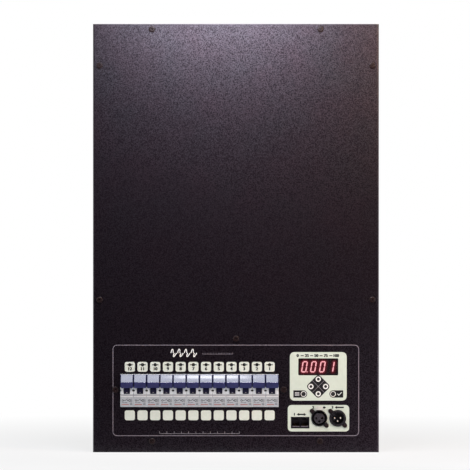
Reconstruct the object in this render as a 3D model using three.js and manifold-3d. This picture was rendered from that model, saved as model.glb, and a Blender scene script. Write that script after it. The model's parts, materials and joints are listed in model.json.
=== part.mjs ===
// Wall-mounted dimmer pack with twelve channels, each behind its own circuit breaker.
// Millimetres. X runs to the right, Y runs back from the front cover and Z runs up from the base.
import * as THREE from 'three';
import { mergeVertices } from 'three/addons/utils/BufferGeometryUtils.js';
import Module from 'manifold-3d';

// Case
const caseWidth = 390;
const caseHeight = 584;
const caseDepth = 150;
const sheet = 1.5;
const coverBend = 2;
const coverReturn = 14;
const coverFit = 0.5;
const sideFlange = 20;
const baseFlange = 26;

// Clearances that many pieces share
const overrun = 1;
const runningGap = 0.3;
const seatGap = 0.2;
const sink = 0.5;

// Screws that hold the cover
const screwHole = 4.4;
const tappedHole = 3.4;
const topScrewX = 115.2;
const topScrewDrop = 7;
const baseScrewX = 114.5;
const baseScrewRise = 15;
const sideScrewInset = 9;
const upperSideScrewDrop = 56.5;
const lowerSideScrewZ = 207.9;
const shelfScrewRise = 6.3;

// Vents, keyholes and cable window of the chassis
const ventLength = 62;
const ventHeight = 4;
const ventPitch = 12;
const ventCount = 6;
const lowerVentZ = 36;
const upperVentDrop = 160;
const keyholeSideInset = 19;
const keyholeInset = 42;
const keyholeWidth = 11;
const keyholeSlot = 6;
const keyholeRise = 12;
const windowLength = 240;
const windowDepth = 66;
const windowSetback = 75;

// Gland plate and grommets
const glandSheet = 2;
const glandMargin = 11;
const mainsGrommetX = -80;
const mainsGrommetSize = 40;
const loadGrommetX = 38;
const loadGrommetLength = 110;
const loadGrommetWidth = 36;
const grommetWall = 3;
const grommetFlange = 4;
const grommetOuterLip = 1.2;
const grommetInnerLip = 2;
const rubberFit = 0.1;

// Partition shelf
const shelfZ = 148.5;
const shelfFlange = 16;
const shelfTab = 15;
const shelfTabInset = 20;
const passFanGap = 12.5;
const passWallGap = 18.5;
const passSpacing = 9;
const passDepth = 20;
const passSetback = 130;

// Breaker row
const rowLeftMargin = 37.3;
const rowRightMargin = 136.7;
const rowZ = 84.4;
const moduleCount = 12;
const moduleGap = 0.3;
const noseHeight = 45;
const noseProud = 2;
const noseDepth = 17.5;
const noseFit = 0.4;
const labelProud = 0.8;
const labelHeight = 13.2;
const bodyHeight = 82;
const bodyDepth = 66;
const tieHole = 2.7;
const tieHoleDepth = 3;

// Rail and its brackets
const railSetback = 60;
const railHeight = 35;
const railHat = 27;
const railDepth = 7.5;
const railSheet = 1;
const hookGrip = 1.3;
const bracketFit = 1;
const bracketSheet = 1.5;
const bracketHeight = 20;
const bracketTab = 10;
const bracketFoot = 16;
const bracketLedge = 14;
const bracketScrewInset = 6.7;
const bracketScrewRise = 0.9;

// Toggles
const pivotDepth = 8;
const drumRadius = 9;
const drumGap = 0.4;
const slotWidth = 8.6;
const leverSpacing = 1.6;
const leverGap = 1;
const leverTop = 22.3;
const leverFoot = 4.9;
const ridgeReach = 9.5;
const ridgeRise = 10.1;
const ridgeFlat = 1.2;
const webFoot = 5.3;
const webTop = 8;

// Busbar over the breakers
const busbarSetback = 28;
const busbarSheet = 2;
const busbarHeight = 12;
const busbarRise = 2;
const toothWidth = 3;
const toothDepth = 6.4;

// Display, keys and control board
const displayInset = 82.7;
const displayZ = 103.5;
const labelSheet = 0.5;
const displayLabelWidth = 77.5;
const displayLabelHeight = 66.2;
const labelCorner = 6;
const lensWidth = 53.8;
const lensHeight = 22.5;
const lensRise = 13;
const lensCorner = 1.3;
const digitBlockWidth = 50.3;
const digitBlockHeight = 19;
const lensBacking = 0.5;
const keyWidth = 3.4;
const keyProud = 0.4;
const keyTravel = 0.4;
const keyReach = 10;
const keyDrop = 13.8;
const menuReach = 20.1;
const menuDrop = 24;
const switchSize = 6;
const switchHeight = 8.5;
const switchFloor = 3.5;
const boardSetback = 12;
const boardSheet = 1.6;
const boardWidth = 86;
const boardHeight = 72;
const studRadius = 3;
const studInset = 5;

// Connector label, sockets and twin jack
const connectorInset = 82.4;
const connectorZ = 46.4;
const connectorLabelWidth = 83.8;
const connectorLabelHeight = 36.1;
const connectorCorner = 5;
const inputX = 26.2;
const outputX = 1;
const socketRadius = 11.1;
const socketFlange = 2.2;
const barrelRadius = 10.2;
const barrelLength = 19;
const socketTail = 6;
const earReach = 9.9;
const earRadius = 3;
const earHole = 2.6;
const pinSpread = 4.07;
const pinRadius = 1.2;
const pinSetback = 1.8;
const cavityRadius = 8.2;
const cavityDepth = 14;
const grooveRadius = 9.7;
const insertRadius = 7.5;
const grooveDepth = 12;
const contactRadius = 1.5;
const contactDepth = 9;
const latchWidth = 10;
const latchHeight = 4.8;
const latchSheet = 2.2;
const latchTravel = 1.5;
const latchStem = 6;
const latchStemHeight = 1.6;
const latchLength = 15;
const guideWall = 1.4;
const guideFront = 3;
const jackX = -25;
const jackDrop = 6;
const jackWidth = 24.7;
const jackHeight = 15.3;
const jackProud = 0.8;
const jackWall = 0.9;
const portWidth = 11;
const portHeight = 10.8;
const portRise = 2.9;
const portDepth = 13;
const connectorBoardSetback = 22;
const connectorBoardWidth = 80;
const connectorBoardHeight = 32;

// Power stage
const sinkZ = 180;
const sinkTopDrop = 199;
const sinkSideGap = 35;
const sinkFront = 78;
const sinkBase = 8;
const finHeight = 40;
const finSheet = 2.5;
const finMargin = 24;
const finCount = 18;
const postRadius = 5;
const sinkPostEdge = 8;
const sinkPostInset = 25;
const triacCount = 12;
const triacWidth = 16;
const triacHeight = 21;
const triacSheet = 5;
const triacLegs = 10;
const triacLevel = 1 / 3;
const legHeight = 3;
const powerBoardInset = 10;
const powerBoardRise = 20;
const powerBoardStandoff = 10;
const driverWidth = 14;
const driverHeight = 12;
const driverDepth = 10;
const driverLevel = 1 / 2;

// Chokes
const chokeBankCount = 3;
const chokeDrop = 127.5;
const chokeBankSpacing = 10.2;
const chokePlateSheet = 2;
const chokeStandoff = 20;
const chokeSpacing = 4.8;
const chokeBore = 12;
const chokeLength = 24;
const chokeRound = 4.5;
const chokePostInset = 9;

// Fan
const fanSize = 119;
const fanDepth = 25;
const fanSetback = 88;
const fanCorner = 6;
const fanBore = 57;
const fanScrew = 52.5;
const fanScrewHole = 4.4;
const motorRadius = 20;
const motorDepth = 7;
const strutWidth = 5;
const strutDepth = 3;
const hubRadius = 19;
const hubLift = 3;
const shaftRadius = 1.5;
const shaftLength = 5.7;
const bladeCount = 7;
const bladeReach = 55;
const bladeChord = 24;
const bladeSheet = 1.6;
const bladePitch = Math.PI / 5;
const grilleCount = 9;
const grillePitch = 12;
const grilleSlot = 6;

// Terminals and transformer
const terminalMargin = 24;
const terminalSpacing = 6;
const supplyPoles = 5;
const supplyPitch = 24;
const supplyHeight = 32;
const supplyBase = 30;
const supplyDrop = 56;
const barrierSheet = 3;
const barrierReach = 12;
const boltRadius = 3;
const boltReach = 15;
const nutRadius = 5.5;
const nutHeight = 5;
const loadPoles = 12;
const loadHeight = 22;
const loadBase = 18;
const loadDrop = 52;
const loadScrewRadius = 3;
const loadScrewReach = 2;
const loadBarrierReach = 5;
const transformerInset = 71;
const transformerZ = 84;
const coreWidth = 60;
const coreHeight = 50;
const coreDepth = 24;
const bobbinWidth = 34;
const bobbinHeight = 42;
const bobbinDepth = 40;
const footWidth = 82;
const footHeight = 30;

// Steps of round shapes
const roundSteps = 24;
const drumSteps = 20;
const chokeSteps = 12;
const holeSteps = 10;
const screwSteps = 8;
const endSteps = 6;
const cornerSteps = 4;

// Values that follow from the sizes above
const wasm = await Module();
wasm.setup();
const chassisHalf = caseWidth / 2 - sheet - coverFit;
const chassisInner = chassisHalf - sheet;
const backWall = caseDepth - sheet;
const [displayX, connectorX] = [displayInset, connectorInset].map((inset) => caseWidth / 2 - inset);
const rowX = (rowLeftMargin - rowRightMargin) / 2;
const rowHalf = (caseWidth - rowLeftMargin - rowRightMargin) / 2;
const modulePitch = 2 * rowHalf / moduleCount;
const connectorBoardFace = connectorBoardSetback - seatGap;
const caseFront = noseProud + ridgeReach;
const passFrom = fanSize / 2 + passFanGap;
const passTo = chassisInner - passWallGap;
const passLength = (passTo - passFrom - passSpacing) / 2;
const sinkHeight = caseHeight - sinkTopDrop - sinkZ;
const sinkWidth = caseWidth - 2 * sinkSideGap;
const chokeBankPitch = 2 * chassisInner / chokeBankCount;
const chokePlate = chokeBankPitch - chokeBankSpacing;
const chokePitch = chokePlate / 2;
const chokeRadius = (chokePitch - chokeSpacing) / 2;
const chokeZ = caseHeight - chokeDrop;
const supplyWidth = supplyPoles * supplyPitch + barrierSheet;
const loadWidth = 2 * (chassisInner - terminalMargin) - terminalSpacing - supplyWidth;
const loadPitch = (loadWidth - barrierSheet) / loadPoles;
const keyPlaces = {
  button_up: [0, -keyDrop + keyReach],
  button_down: [0, -keyDrop - keyReach],
  button_left: [-keyReach, -keyDrop],
  button_right: [keyReach, -keyDrop],
  button_menu: [-menuReach, -menuDrop],
  button_enter: [menuReach, -menuDrop],
};

const paint = {
  case: finish(0x1c1820, 0.55, 0.2),
  zinc: finish(0x9a9ea3, 0.4, 0.9),
  label: finish(0xdbe0c8, 0.5, 0),
  moulding: finish(0xb7bbbe, 0.45, 0),
  toggle: finish(0x26265a, 0.25, 0),
  black: finish(0x141316, 0.5, 0),
  lens: finish(0x2a2a2e, 0.1, 0),
  board: finish(0x1f5a34, 0.5, 0),
  aluminium: finish(0x8f9296, 0.45, 1),
  steel: finish(0xc4c6c8, 0.3, 1),
  copper: finish(0xb87345, 0.35, 1),
  ferrite: finish(0xc9b458, 0.5, 0),
  rubber: finish(0x1a1a1b, 0.8, 0),
};

function finish(color, roughness, metalness) {
  return new THREE.MeshStandardMaterial({ color, roughness, metalness });
}

// Points of an arc, given in turns
function arc(u, v, radius, from, to, steps) {
  return Array.from({ length: steps + 1 }, (_, i) => {
    const angle = 2 * Math.PI * (from + (to - from) * i / steps);
    return [u + radius * Math.cos(angle), v + radius * Math.sin(angle)];
  });
}

function ring(u, v, radius, steps = roundSteps) {
  return arc(u, v, radius, 0, 1, steps).slice(1);
}

function rectangle(u, v, width, height) {
  const [right, top] = [width / 2, height / 2];
  return [[u - right, v - top], [u + right, v - top], [u + right, v + top], [u - right, v + top]];
}

function roundedRectangle(u, v, width, height, radius, steps = cornerSteps) {
  const [right, top] = [width / 2 - radius, height / 2 - radius];
  return [
    ...arc(u + right, v - top, radius, 0.75, 1, steps),
    ...arc(u + right, v + top, radius, 0, 0.25, steps),
    ...arc(u - right, v + top, radius, 0.25, 0.5, steps),
    ...arc(u - right, v - top, radius, 0.5, 0.75, steps),
  ];
}

// Slot with round ends that runs along the first axis
function racetrack(u, v, length, width, steps) {
  const [reach, radius] = [(length - width) / 2, width / 2];
  return [
    ...arc(u + reach, v, radius, -0.25, 0.25, steps),
    ...arc(u - reach, v, radius, 0.25, 0.75, steps),
  ];
}

function mirrored(points) {
  return points.map(([u, v]) => [-u, v]);
}

function outline(points) {
  return new THREE.Shape(points.map(([u, v]) => new THREE.Vector2(u, v)));
}

function solid(geometry) {
  geometry.deleteAttribute('normal');
  geometry.deleteAttribute('uv');
  const welded = mergeVertices(geometry);
  return new wasm.Manifold(new wasm.Mesh({
    numProp: 3,
    vertProperties: new Float32Array(welded.attributes.position.array),
    triVerts: new Uint32Array(welded.index.array),
  }));
}

function extruded(points, length, u, v, w, place) {
  const geometry = new THREE.ExtrudeGeometry(outline(points), { depth: length, bevelEnabled: false });
  geometry.applyMatrix4(new THREE.Matrix4().makeBasis(u, v, w));
  return solid(geometry.translate(...place));
}

const [toX, toY, toZ] = [[1, 0, 0], [0, 1, 0], [0, 0, 1]].map((axis) => new THREE.Vector3(...axis));

// Outline in Y and Z, drawn out along X
function alongX(points, from, to) {
  return extruded(points, to - from, toY, toZ, toX, [from, 0, 0]);
}

// Outline in X and Z, drawn out along Y
function alongY(points, from, to) {
  return extruded(points, to - from, toX, toZ, toY.clone().negate(), [0, to, 0]);
}

// Outline in X and Y, drawn out along Z
function alongZ(points, from, to) {
  return extruded(points, to - from, toX, toY, toZ, [0, 0, from]);
}

function slab(x0, x1, y0, y1, z0, z1) {
  const geometry = new THREE.BoxGeometry(Math.abs(x1 - x0), y1 - y0, z1 - z0);
  return solid(geometry.translate((x0 + x1) / 2, (y0 + y1) / 2, (z0 + z1) / 2));
}

function join(...bodies) {
  return bodies.reduce((whole, body) => whole.add(body));
}

function cut(body, ...tools) {
  return tools.reduce((rest, tool) => rest.subtract(tool), body);
}

function piece(name, body, material) {
  const { vertProperties, triVerts } = body.getMesh();
  const geometry = new THREE.BufferGeometry();
  geometry.setAttribute('position', new THREE.BufferAttribute(vertProperties, 3));
  geometry.setIndex(new THREE.BufferAttribute(triVerts, 1));
  geometry.computeVertexNormals();
  const mesh = new THREE.Mesh(geometry, material);
  mesh.name = name;
  return mesh;
}

function placed(object, x, y, z) {
  object.position.set(x, y, z);
  return object;
}

function group(x, y, z, ...children) {
  return placed(new THREE.Group().add(...children), x, y, z);
}

function pair(make) {
  return [-1, 1].map(make);
}

// Places on the cover
const edgeScrews = pair((side) => [
  [side * topScrewX, caseHeight - topScrewDrop],
  [side * baseScrewX, baseScrewRise],
  [side * (caseWidth / 2 - sideScrewInset), caseHeight - upperSideScrewDrop],
  [side * (caseWidth / 2 - sideScrewInset), lowerSideScrewZ],
]).flat();
const shelfScrew = [0, shelfZ + shelfScrewRise];
const bracketScrews = pair((side) => [rowX + side * (rowHalf + bracketScrewInset), rowZ + bracketScrewRise]);
const coverScrews = [...edgeScrews, shelfScrew, ...bracketScrews];
const keyholes = pair((side) => [
  [side * (caseWidth / 2 - keyholeSideInset), keyholeInset],
  [side * (caseWidth / 2 - keyholeSideInset), caseHeight - keyholeInset - keyholeRise],
]).flat();
const sinkPosts = pair((side) => [
  [side * (sinkWidth / 2 - sinkPostEdge), sinkZ + sinkPostInset],
  [side * (sinkWidth / 2 - sinkPostEdge), sinkZ + sinkHeight - sinkPostInset],
]).flat();
const chokeBanks = Array.from({ length: chokeBankCount }, (_, i) => (
  (i - (chokeBankCount - 1) / 2) * chokeBankPitch
));
const chokePosts = chokeBanks.flatMap((x) => pair((side) => (
  [x + side * (chokePlate / 2 - chokePostInset), chokeZ]
)));

// Sheet steel tray with front flanges, vents, keyholes, cable window and spacer posts
function rearChassis() {
  const shell = cut(
    slab(-chassisHalf, chassisHalf, sheet, caseDepth, 0, caseHeight),
    slab(-chassisInner, chassisInner, 2 * sheet, backWall, sheet, caseHeight - sheet),
    slab(sideFlange - chassisHalf, chassisHalf - sideFlange, 0, 2 * sheet + overrun,
      baseFlange, caseHeight - sideFlange),
    alongZ(rectangle(0, windowSetback, windowLength, windowDepth),
      caseHeight - sheet - overrun, caseHeight + overrun),
  );
  const ventFeet = [lowerVentZ, caseHeight - upperVentDrop];
  const vents = ventFeet.flatMap((z) => Array.from({ length: ventCount }, (_, i) => (
    alongX(racetrack(caseDepth / 2, z + i * ventPitch, ventLength, ventHeight, 2),
      -chassisHalf - overrun, chassisHalf + overrun)
  )));
  const screws = edgeScrews.map(([x, z]) => (
    alongY(ring(x, z, tappedHole / 2, holeSteps), sheet - overrun, 2 * sheet + overrun)
  ));
  const hangers = keyholes.flatMap(([x, z]) => [
    alongY(ring(x, z, keyholeWidth / 2, holeSteps), backWall - overrun, caseDepth + overrun),
    slab(x - keyholeSlot / 2, x + keyholeSlot / 2,
      backWall - overrun, caseDepth + overrun, z, z + keyholeRise),
  ]);
  const post = (front) => ([x, z]) => alongY(ring(x, z, postRadius, holeSteps), front, backWall + sink);
  return join(
    cut(shell, ...vents, ...screws, ...hangers),
    ...sinkPosts.map(post(sinkFront + sinkBase + seatGap)),
    ...chokePosts.map(post(backWall - chokeStandoff)),
  );
}

// Front sheet folded back at both sides, with its cut-outs and the studs of the control board
function frontCover() {
  const half = caseWidth / 2;
  const inner = coverBend - sheet;
  const side = [
    ...arc(half - coverBend, coverBend, coverBend, 0.75, 1, cornerSteps),
    [half, coverReturn],
    [half - sheet, coverReturn],
    ...arc(half - coverBend, coverBend, inner, 1, 0.75, cornerSteps),
  ];
  const folded = alongZ([...side, ...mirrored(side).reverse()], 0, caseHeight);
  const through = (points) => alongY(points, -overrun, sheet + overrun);
  const [screenX, screenZ] = [displayX, displayZ + lensRise];
  const [studX, studZ] = [boardWidth / 2 - studInset, boardHeight / 2 - studInset];
  const studs = pair((sideX) => pair((sideZ) => alongY(
    ring(displayX + sideX * studX, displayZ + sideZ * studZ, studRadius, holeSteps),
    sheet - sink, boardSetback,
  ))).flat();
  return join(
    cut(
      folded,
      ...coverScrews.map(([x, z]) => through(ring(x, z, screwHole / 2, holeSteps))),
      through(rectangle(rowX, rowZ, 2 * (rowHalf + noseFit), noseHeight + 2 * noseFit)),
      through(roundedRectangle(screenX, screenZ, lensWidth, lensHeight, lensCorner, 2)),
      ...Object.values(keyPlaces).map(([x, z]) => (
        through(ring(displayX + x, displayZ + z, keyWidth / 2 + runningGap, holeSteps))
      )),
      ...connectorCuts(connectorX, connectorZ).map(through),
    ),
    ...studs,
  );
}

// Outlines cut for the jack, both sockets, their screws and the latch
function connectorCuts(x, z) {
  const hole = barrelRadius + runningGap;
  const [slotFoot, slotTop] = [barrelRadius - sink, latchPlace().top + runningGap];
  return [
    rectangle(x + jackX, z - jackDrop, jackWidth + 2 * runningGap, jackHeight + 2 * runningGap),
    ...[inputX, outputX].flatMap((socket) => [
      ring(x + socket, z, hole),
      ...pair((side) => ring(x + socket + side * earReach, z - side * earReach, earHole / 2, holeSteps)),
    ]),
    rectangle(x + outputX, z + (slotFoot + slotTop) / 2, latchStem + 2 * runningGap, slotTop - slotFoot),
  ];
}

// Height of the latch's stem over the output socket
function latchPlace() {
  const foot = socketRadius + runningGap;
  return { foot, top: foot + latchStemHeight };
}

function partitionShelf() {
  const half = chassisInner - runningGap;
  const middle = chassisHalf - sideFlange - runningGap;
  const rear = backWall - runningGap;
  const step = 2 * sheet + runningGap;
  const floor = alongZ([
    [-middle, sheet], [middle, sheet], [middle, step], [half, step],
    [half, rear], [-half, rear], [-half, step], [-middle, step],
  ], -sheet, 0);
  const grille = Array.from({ length: grilleCount }, (_, i) => {
    const offset = (i - (grilleCount - 1) / 2) * grillePitch;
    const length = 2 * Math.sqrt(fanBore ** 2 - (Math.abs(offset) + grilleSlot / 2) ** 2) - 2 * grilleSlot;
    return alongZ(rectangle(0, fanSetback + offset, length, grilleSlot), -sheet - overrun, overrun);
  });
  const passes = pair((side) => [passFrom + passLength / 2, passTo - passLength / 2].map((x) => (
    alongZ(rectangle(side * x, passSetback, passLength, passDepth), -sheet - overrun, overrun)
  ))).flat();
  return cut(
    join(
      floor,
      slab(-middle, middle, sheet, 2 * sheet, -sheet, shelfFlange),
      ...pair((side) => (
        slab(side * half, side * (half - sheet), shelfTabInset, rear - shelfTabInset, -shelfTab, -sink)
      )),
    ),
    ...grille,
    ...passes,
    alongY(ring(0, shelfScrewRise, tappedHole / 2, holeSteps), 0, 2 * sheet + overrun),
  );
}

function glandPlate() {
  const through = (points) => alongZ(points, -glandSheet - overrun, overrun);
  return cut(
    slab(-windowLength / 2 - glandMargin, windowLength / 2 + glandMargin,
      -windowDepth / 2 - glandMargin, windowDepth / 2 + glandMargin, -glandSheet, 0),
    through(racetrack(mainsGrommetX, 0, mainsGrommetSize, mainsGrommetSize, endSteps)),
    through(racetrack(loadGrommetX, 0, loadGrommetLength, loadGrommetWidth, endSteps)),
  );
}

// Rubber edge ring that fills a hole of this length and width
function grommet(length, width) {
  const track = (grown, from, to) => (
    alongZ(racetrack(0, 0, length + 2 * grown, width + 2 * grown, endSteps), from, to)
  );
  const lower = -glandSheet - rubberFit;
  return cut(
    join(
      track(-runningGap, lower - sink, rubberFit + sink),
      track(grommetFlange, rubberFit, grommetOuterLip),
      track(grommetFlange, lower - grommetInnerLip, lower),
    ),
    track(-runningGap - grommetWall, lower - grommetInnerLip - overrun, grommetOuterLip + overrun),
  );
}

// One breaker, with the middle of its nose face at the origin
function breakerBody() {
  const half = (modulePitch - moduleGap) / 2;
  const [nose, height] = [noseHeight / 2, bodyHeight / 2];
  const step = labelHeight - nose;
  const notch = railHeight / 2 + runningGap;
  const hook = railHeight / 2 - hookGrip;
  const floor = railSetback - runningGap;
  const catchFront = railSetback + railSheet + runningGap;
  const side = [
    [0, nose], [noseDepth, nose], [noseDepth, height], [bodyDepth, height],
    [bodyDepth, hook], [catchFront, hook], [catchFront, notch], [floor, notch],
    [floor, -notch], [catchFront, -notch], [catchFront, -hook], [bodyDepth, -hook],
    [bodyDepth, -height], [noseDepth, -height], [noseDepth, -nose], [-labelProud, -nose],
    [-labelProud, step], [0, step],
  ];
  const slotTop = pivotDepth * webTop / (pivotDepth + leverGap) + drumGap;
  const tooth = bodyHeight / 2 - toothDepth - runningGap;
  return cut(
    alongX(side, -half, half),
    alongX(ring(pivotDepth, 0, drumRadius + drumGap, drumSteps), -slotWidth / 2, slotWidth / 2),
    slab(-slotWidth / 2, slotWidth / 2, -overrun, pivotDepth, 0, slotTop),
    ...pair((edge) => alongY(ring(edge * half, 0, tieHole / 2, screwSteps), -overrun, tieHoleDepth)),
    slab(-toothWidth / 2 - runningGap, toothWidth / 2 + runningGap,
      busbarSetback - runningGap, busbarSetback + busbarSheet + runningGap, tooth, height + overrun),
  );
}

// One toggle in its ON place, with its pivot at the origin
function toggleBody() {
  const neck = slotWidth / 2 - runningGap;
  const back = -pivotDepth - leverGap;
  const ridge = -pivotDepth - ridgeReach;
  const lever = [
    [back, leverFoot], [ridge, ridgeRise - ridgeFlat / 2],
    [ridge, ridgeRise + ridgeFlat / 2], [back, leverTop],
  ];
  const web = [[0, 0], [back - seatGap, webFoot], [back - seatGap, webTop]];
  const side = (modulePitch - leverSpacing) / 2;
  return join(
    alongX(ring(0, 0, drumRadius, drumSteps), -neck, neck),
    alongX(web, -neck, neck),
    alongX(lever, -side, side),
  );
}

function moduleX(number) {
  return ((moduleCount + 1) / 2 - number) * modulePitch;
}

function rail() {
  const front = railSetback - noseProud;
  const rear = front + railDepth;
  const [brim, hat] = [railHeight / 2, railHat / 2];
  const wall = hat - railSheet;
  const length = rowHalf + bracketFit - runningGap;
  return alongX([
    [front, brim], [front + railSheet, brim], [front + railSheet, hat], [rear, hat],
    [rear, -hat], [front + railSheet, -hat], [front + railSheet, -brim], [front, -brim],
    [front, -wall], [rear - railSheet, -wall], [rear - railSheet, wall], [front, wall],
  ], -length, length);
}

// Folded pillar from the back wall to the cover, with a ledge behind the rail's end
function railBracket(side) {
  const web = rowHalf + bracketFit;
  const outer = web + bracketSheet;
  const ledge = railSetback - noseProud + railDepth;
  const plan = [
    [web, sheet], [web + bracketTab, sheet],
    [web + bracketTab, sheet + bracketSheet], [outer, sheet + bracketSheet],
    [outer, backWall - bracketSheet], [web + bracketFoot, backWall - bracketSheet],
    [web + bracketFoot, backWall], [web, backWall],
  ];
  const half = bracketHeight / 2;
  return cut(
    join(
      alongZ(side > 0 ? plan : mirrored(plan), -half, half),
      slab(side * (web - bracketLedge), side * (web + sink), ledge, ledge + bracketSheet, -half, half),
    ),
    alongY(ring(side * (rowHalf + bracketScrewInset), bracketScrewRise, tappedHole / 2, holeSteps),
      0, sheet + bracketSheet + overrun),
  );
}

// Comb that feeds all the breakers from above
function feedBusbar() {
  const front = busbarSetback - noseProud;
  const foot = bodyHeight / 2 + busbarRise;
  const half = rowHalf - busbarRise;
  return join(
    slab(-half, half, front, front + busbarSheet, foot, foot + busbarHeight),
    ...Array.from({ length: moduleCount }, (_, i) => slab(
      moduleX(i + 1) - toothWidth / 2, moduleX(i + 1) + toothWidth / 2,
      front, front + busbarSheet, bodyHeight / 2 - toothDepth, foot + sink,
    )),
  );
}

function breakerRow() {
  const numbers = Array.from({ length: moduleCount }, (_, i) => i + 1);
  return group(
    rowX, 0, rowZ,
    piece('din_rail', rail(), paint.zinc),
    piece('rail_bracket_left', railBracket(-1), paint.zinc),
    piece('rail_bracket_right', railBracket(1), paint.zinc),
    piece('feed_busbar', feedBusbar(), paint.copper),
    ...numbers.map((number) => (
      placed(piece(`breaker_${number}`, breakerBody(), paint.moulding), moduleX(number), -noseProud, 0)
    )),
    ...numbers.map((number) => (
      placed(piece(`toggle_${number}`, toggleBody(), paint.toggle),
        moduleX(number), pivotDepth - noseProud, 0)
    )),
  );
}

function displayLabel() {
  const through = (points) => alongY(points, -labelSheet - overrun, overrun);
  return cut(
    alongY(roundedRectangle(0, 0, displayLabelWidth, displayLabelHeight, labelCorner), -labelSheet, 0),
    through(roundedRectangle(0, lensRise, lensWidth, lensHeight, lensCorner, 2)),
    ...Object.values(keyPlaces).map(([x, z]) => through(ring(x, z, keyWidth / 2 + runningGap, holeSteps))),
  );
}

// Board with a housing for each key, each with a blind bore for the key's stem
function controlBoard() {
  const front = boardSetback - switchHeight;
  return cut(
    join(
      alongY(rectangle(0, 0, boardWidth, boardHeight), boardSetback, boardSetback + boardSheet),
      ...Object.values(keyPlaces).map(([x, z]) => (
        alongY(rectangle(x, z, switchSize, switchSize), front, boardSetback + sink)
      )),
    ),
    ...Object.values(keyPlaces).map(([x, z]) => (
      alongY(ring(x, z, keyWidth / 2 + runningGap, holeSteps), front - overrun, boardSetback - switchFloor)
    )),
  );
}

function displayUnit() {
  const [paneWidth, paneHeight] = [lensWidth - 2 * runningGap, lensHeight - 2 * runningGap];
  const lens = roundedRectangle(0, lensRise, paneWidth, paneHeight, lensCorner, 2);
  const digits = rectangle(0, lensRise, digitBlockWidth, digitBlockHeight);
  const key = (x, z) => alongY(
    ring(x, z, keyWidth / 2, holeSteps),
    -labelSheet - keyProud, boardSetback - switchFloor - keyTravel - runningGap,
  );
  return group(
    displayX, 0, displayZ,
    piece('display_overlay', displayLabel(), paint.label),
    piece('display_lens', alongY(lens, -labelSheet, sheet), paint.lens),
    piece('display_block', alongY(digits, sheet + lensBacking, boardSetback - seatGap), paint.black),
    piece('control_board', controlBoard(), paint.board),
    ...Object.entries(keyPlaces).map(([name, [x, z]]) => piece(name, key(x, z), paint.black)),
  );
}

function connectorLabel() {
  return cut(
    alongY(roundedRectangle(0, 0, connectorLabelWidth, connectorLabelHeight, connectorCorner),
      -labelSheet, 0),
    ...connectorCuts(0, 0).map((points) => alongY(points, -labelSheet - overrun, overrun)),
  );
}

// Round flange with two screw ears, the barrel behind it and the tail on the board
function socketShell() {
  const front = -labelSheet - socketFlange;
  const ears = [...arc(earReach, -earReach, earRadius, -0.375, 0.125, cornerSteps),
    ...arc(-earReach, earReach, earRadius, 0.125, 0.625, cornerSteps)];
  return cut(
    join(
      alongY(ring(0, 0, socketRadius), front, -labelSheet),
      alongY(ears, front, -labelSheet),
      alongY(ring(0, 0, barrelRadius), front + sink, barrelLength),
      alongY(ring(0, 0, socketTail, holeSteps), barrelLength - sink, connectorBoardFace),
    ),
    ...pair((side) => alongY(
      ring(side * earReach, -side * earReach, earHole / 2, holeSteps), front - overrun, overrun,
    )),
  );
}

function contactPlaces() {
  return [[-pinSpread, 0], [pinSpread, 0], [0, -pinSpread]];
}

function inputSocket() {
  return join(
    cut(socketShell(), alongY(ring(0, 0, cavityRadius), -labelSheet - socketFlange - overrun, cavityDepth)),
    ...contactPlaces().map(([x, z]) => (
      alongY(ring(x, z, pinRadius, holeSteps), pinSetback, cavityDepth + sink)
    )),
  );
}

function outputSocket() {
  const front = -labelSheet - socketFlange;
  const latch = latchPlace();
  const half = latchStem / 2 + runningGap;
  const groove = cut(
    alongY(ring(0, 0, grooveRadius), front - overrun, grooveDepth),
    alongY(ring(0, 0, insertRadius), front, grooveDepth + overrun),
  );
  const guide = cut(
    slab(-half - guideWall, half + guideWall, guideFront, latchLength, 0, latch.top + runningGap + guideWall),
    slab(-half, half, guideFront - overrun, latchLength + overrun,
      latch.foot - runningGap, latch.top + runningGap),
    alongY(ring(0, 0, barrelRadius - sink), guideFront - overrun, latchLength + overrun),
  );
  return cut(
    join(socketShell(), guide),
    groove,
    ...contactPlaces().map(([x, z]) => (
      alongY(ring(x, z, contactRadius, holeSteps), front - overrun, contactDepth)
    )),
  );
}

function socketLatch() {
  const { foot, top } = latchPlace();
  const rear = -labelSheet - latchTravel - runningGap;
  return join(
    slab(-latchWidth / 2, latchWidth / 2, rear - latchSheet, rear, foot, foot + latchHeight),
    slab(-latchStem / 2, latchStem / 2, rear - sink, latchLength - latchTravel - runningGap, foot, top),
  );
}

function twinJack() {
  const [right, top] = [jackWidth / 2, jackHeight / 2];
  const port = (side) => slab(
    side * jackWall / 2, side * (jackWall / 2 + portWidth), -jackProud - overrun, portDepth,
    portRise - top, portRise - top + portHeight,
  );
  return cut(slab(-right, right, -jackProud, connectorBoardFace, -top, top), ...pair(port));
}

function connectorUnit() {
  const board = rectangle(0, 0, connectorBoardWidth, connectorBoardHeight);
  return group(
    connectorX, 0, connectorZ,
    piece('connector_overlay', connectorLabel(), paint.label),
    placed(piece('input_socket', inputSocket(), paint.black), inputX, 0, 0),
    placed(piece('output_socket', outputSocket(), paint.black), outputX, 0, 0),
    placed(piece('output_socket_latch', socketLatch(), paint.steel), outputX, 0, 0),
    placed(piece('twin_jack', twinJack(), paint.black), jackX, 0, -jackDrop),
    piece('connector_board',
      alongY(board, connectorBoardSetback, connectorBoardSetback + boardSheet), paint.board),
  );
}

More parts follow.
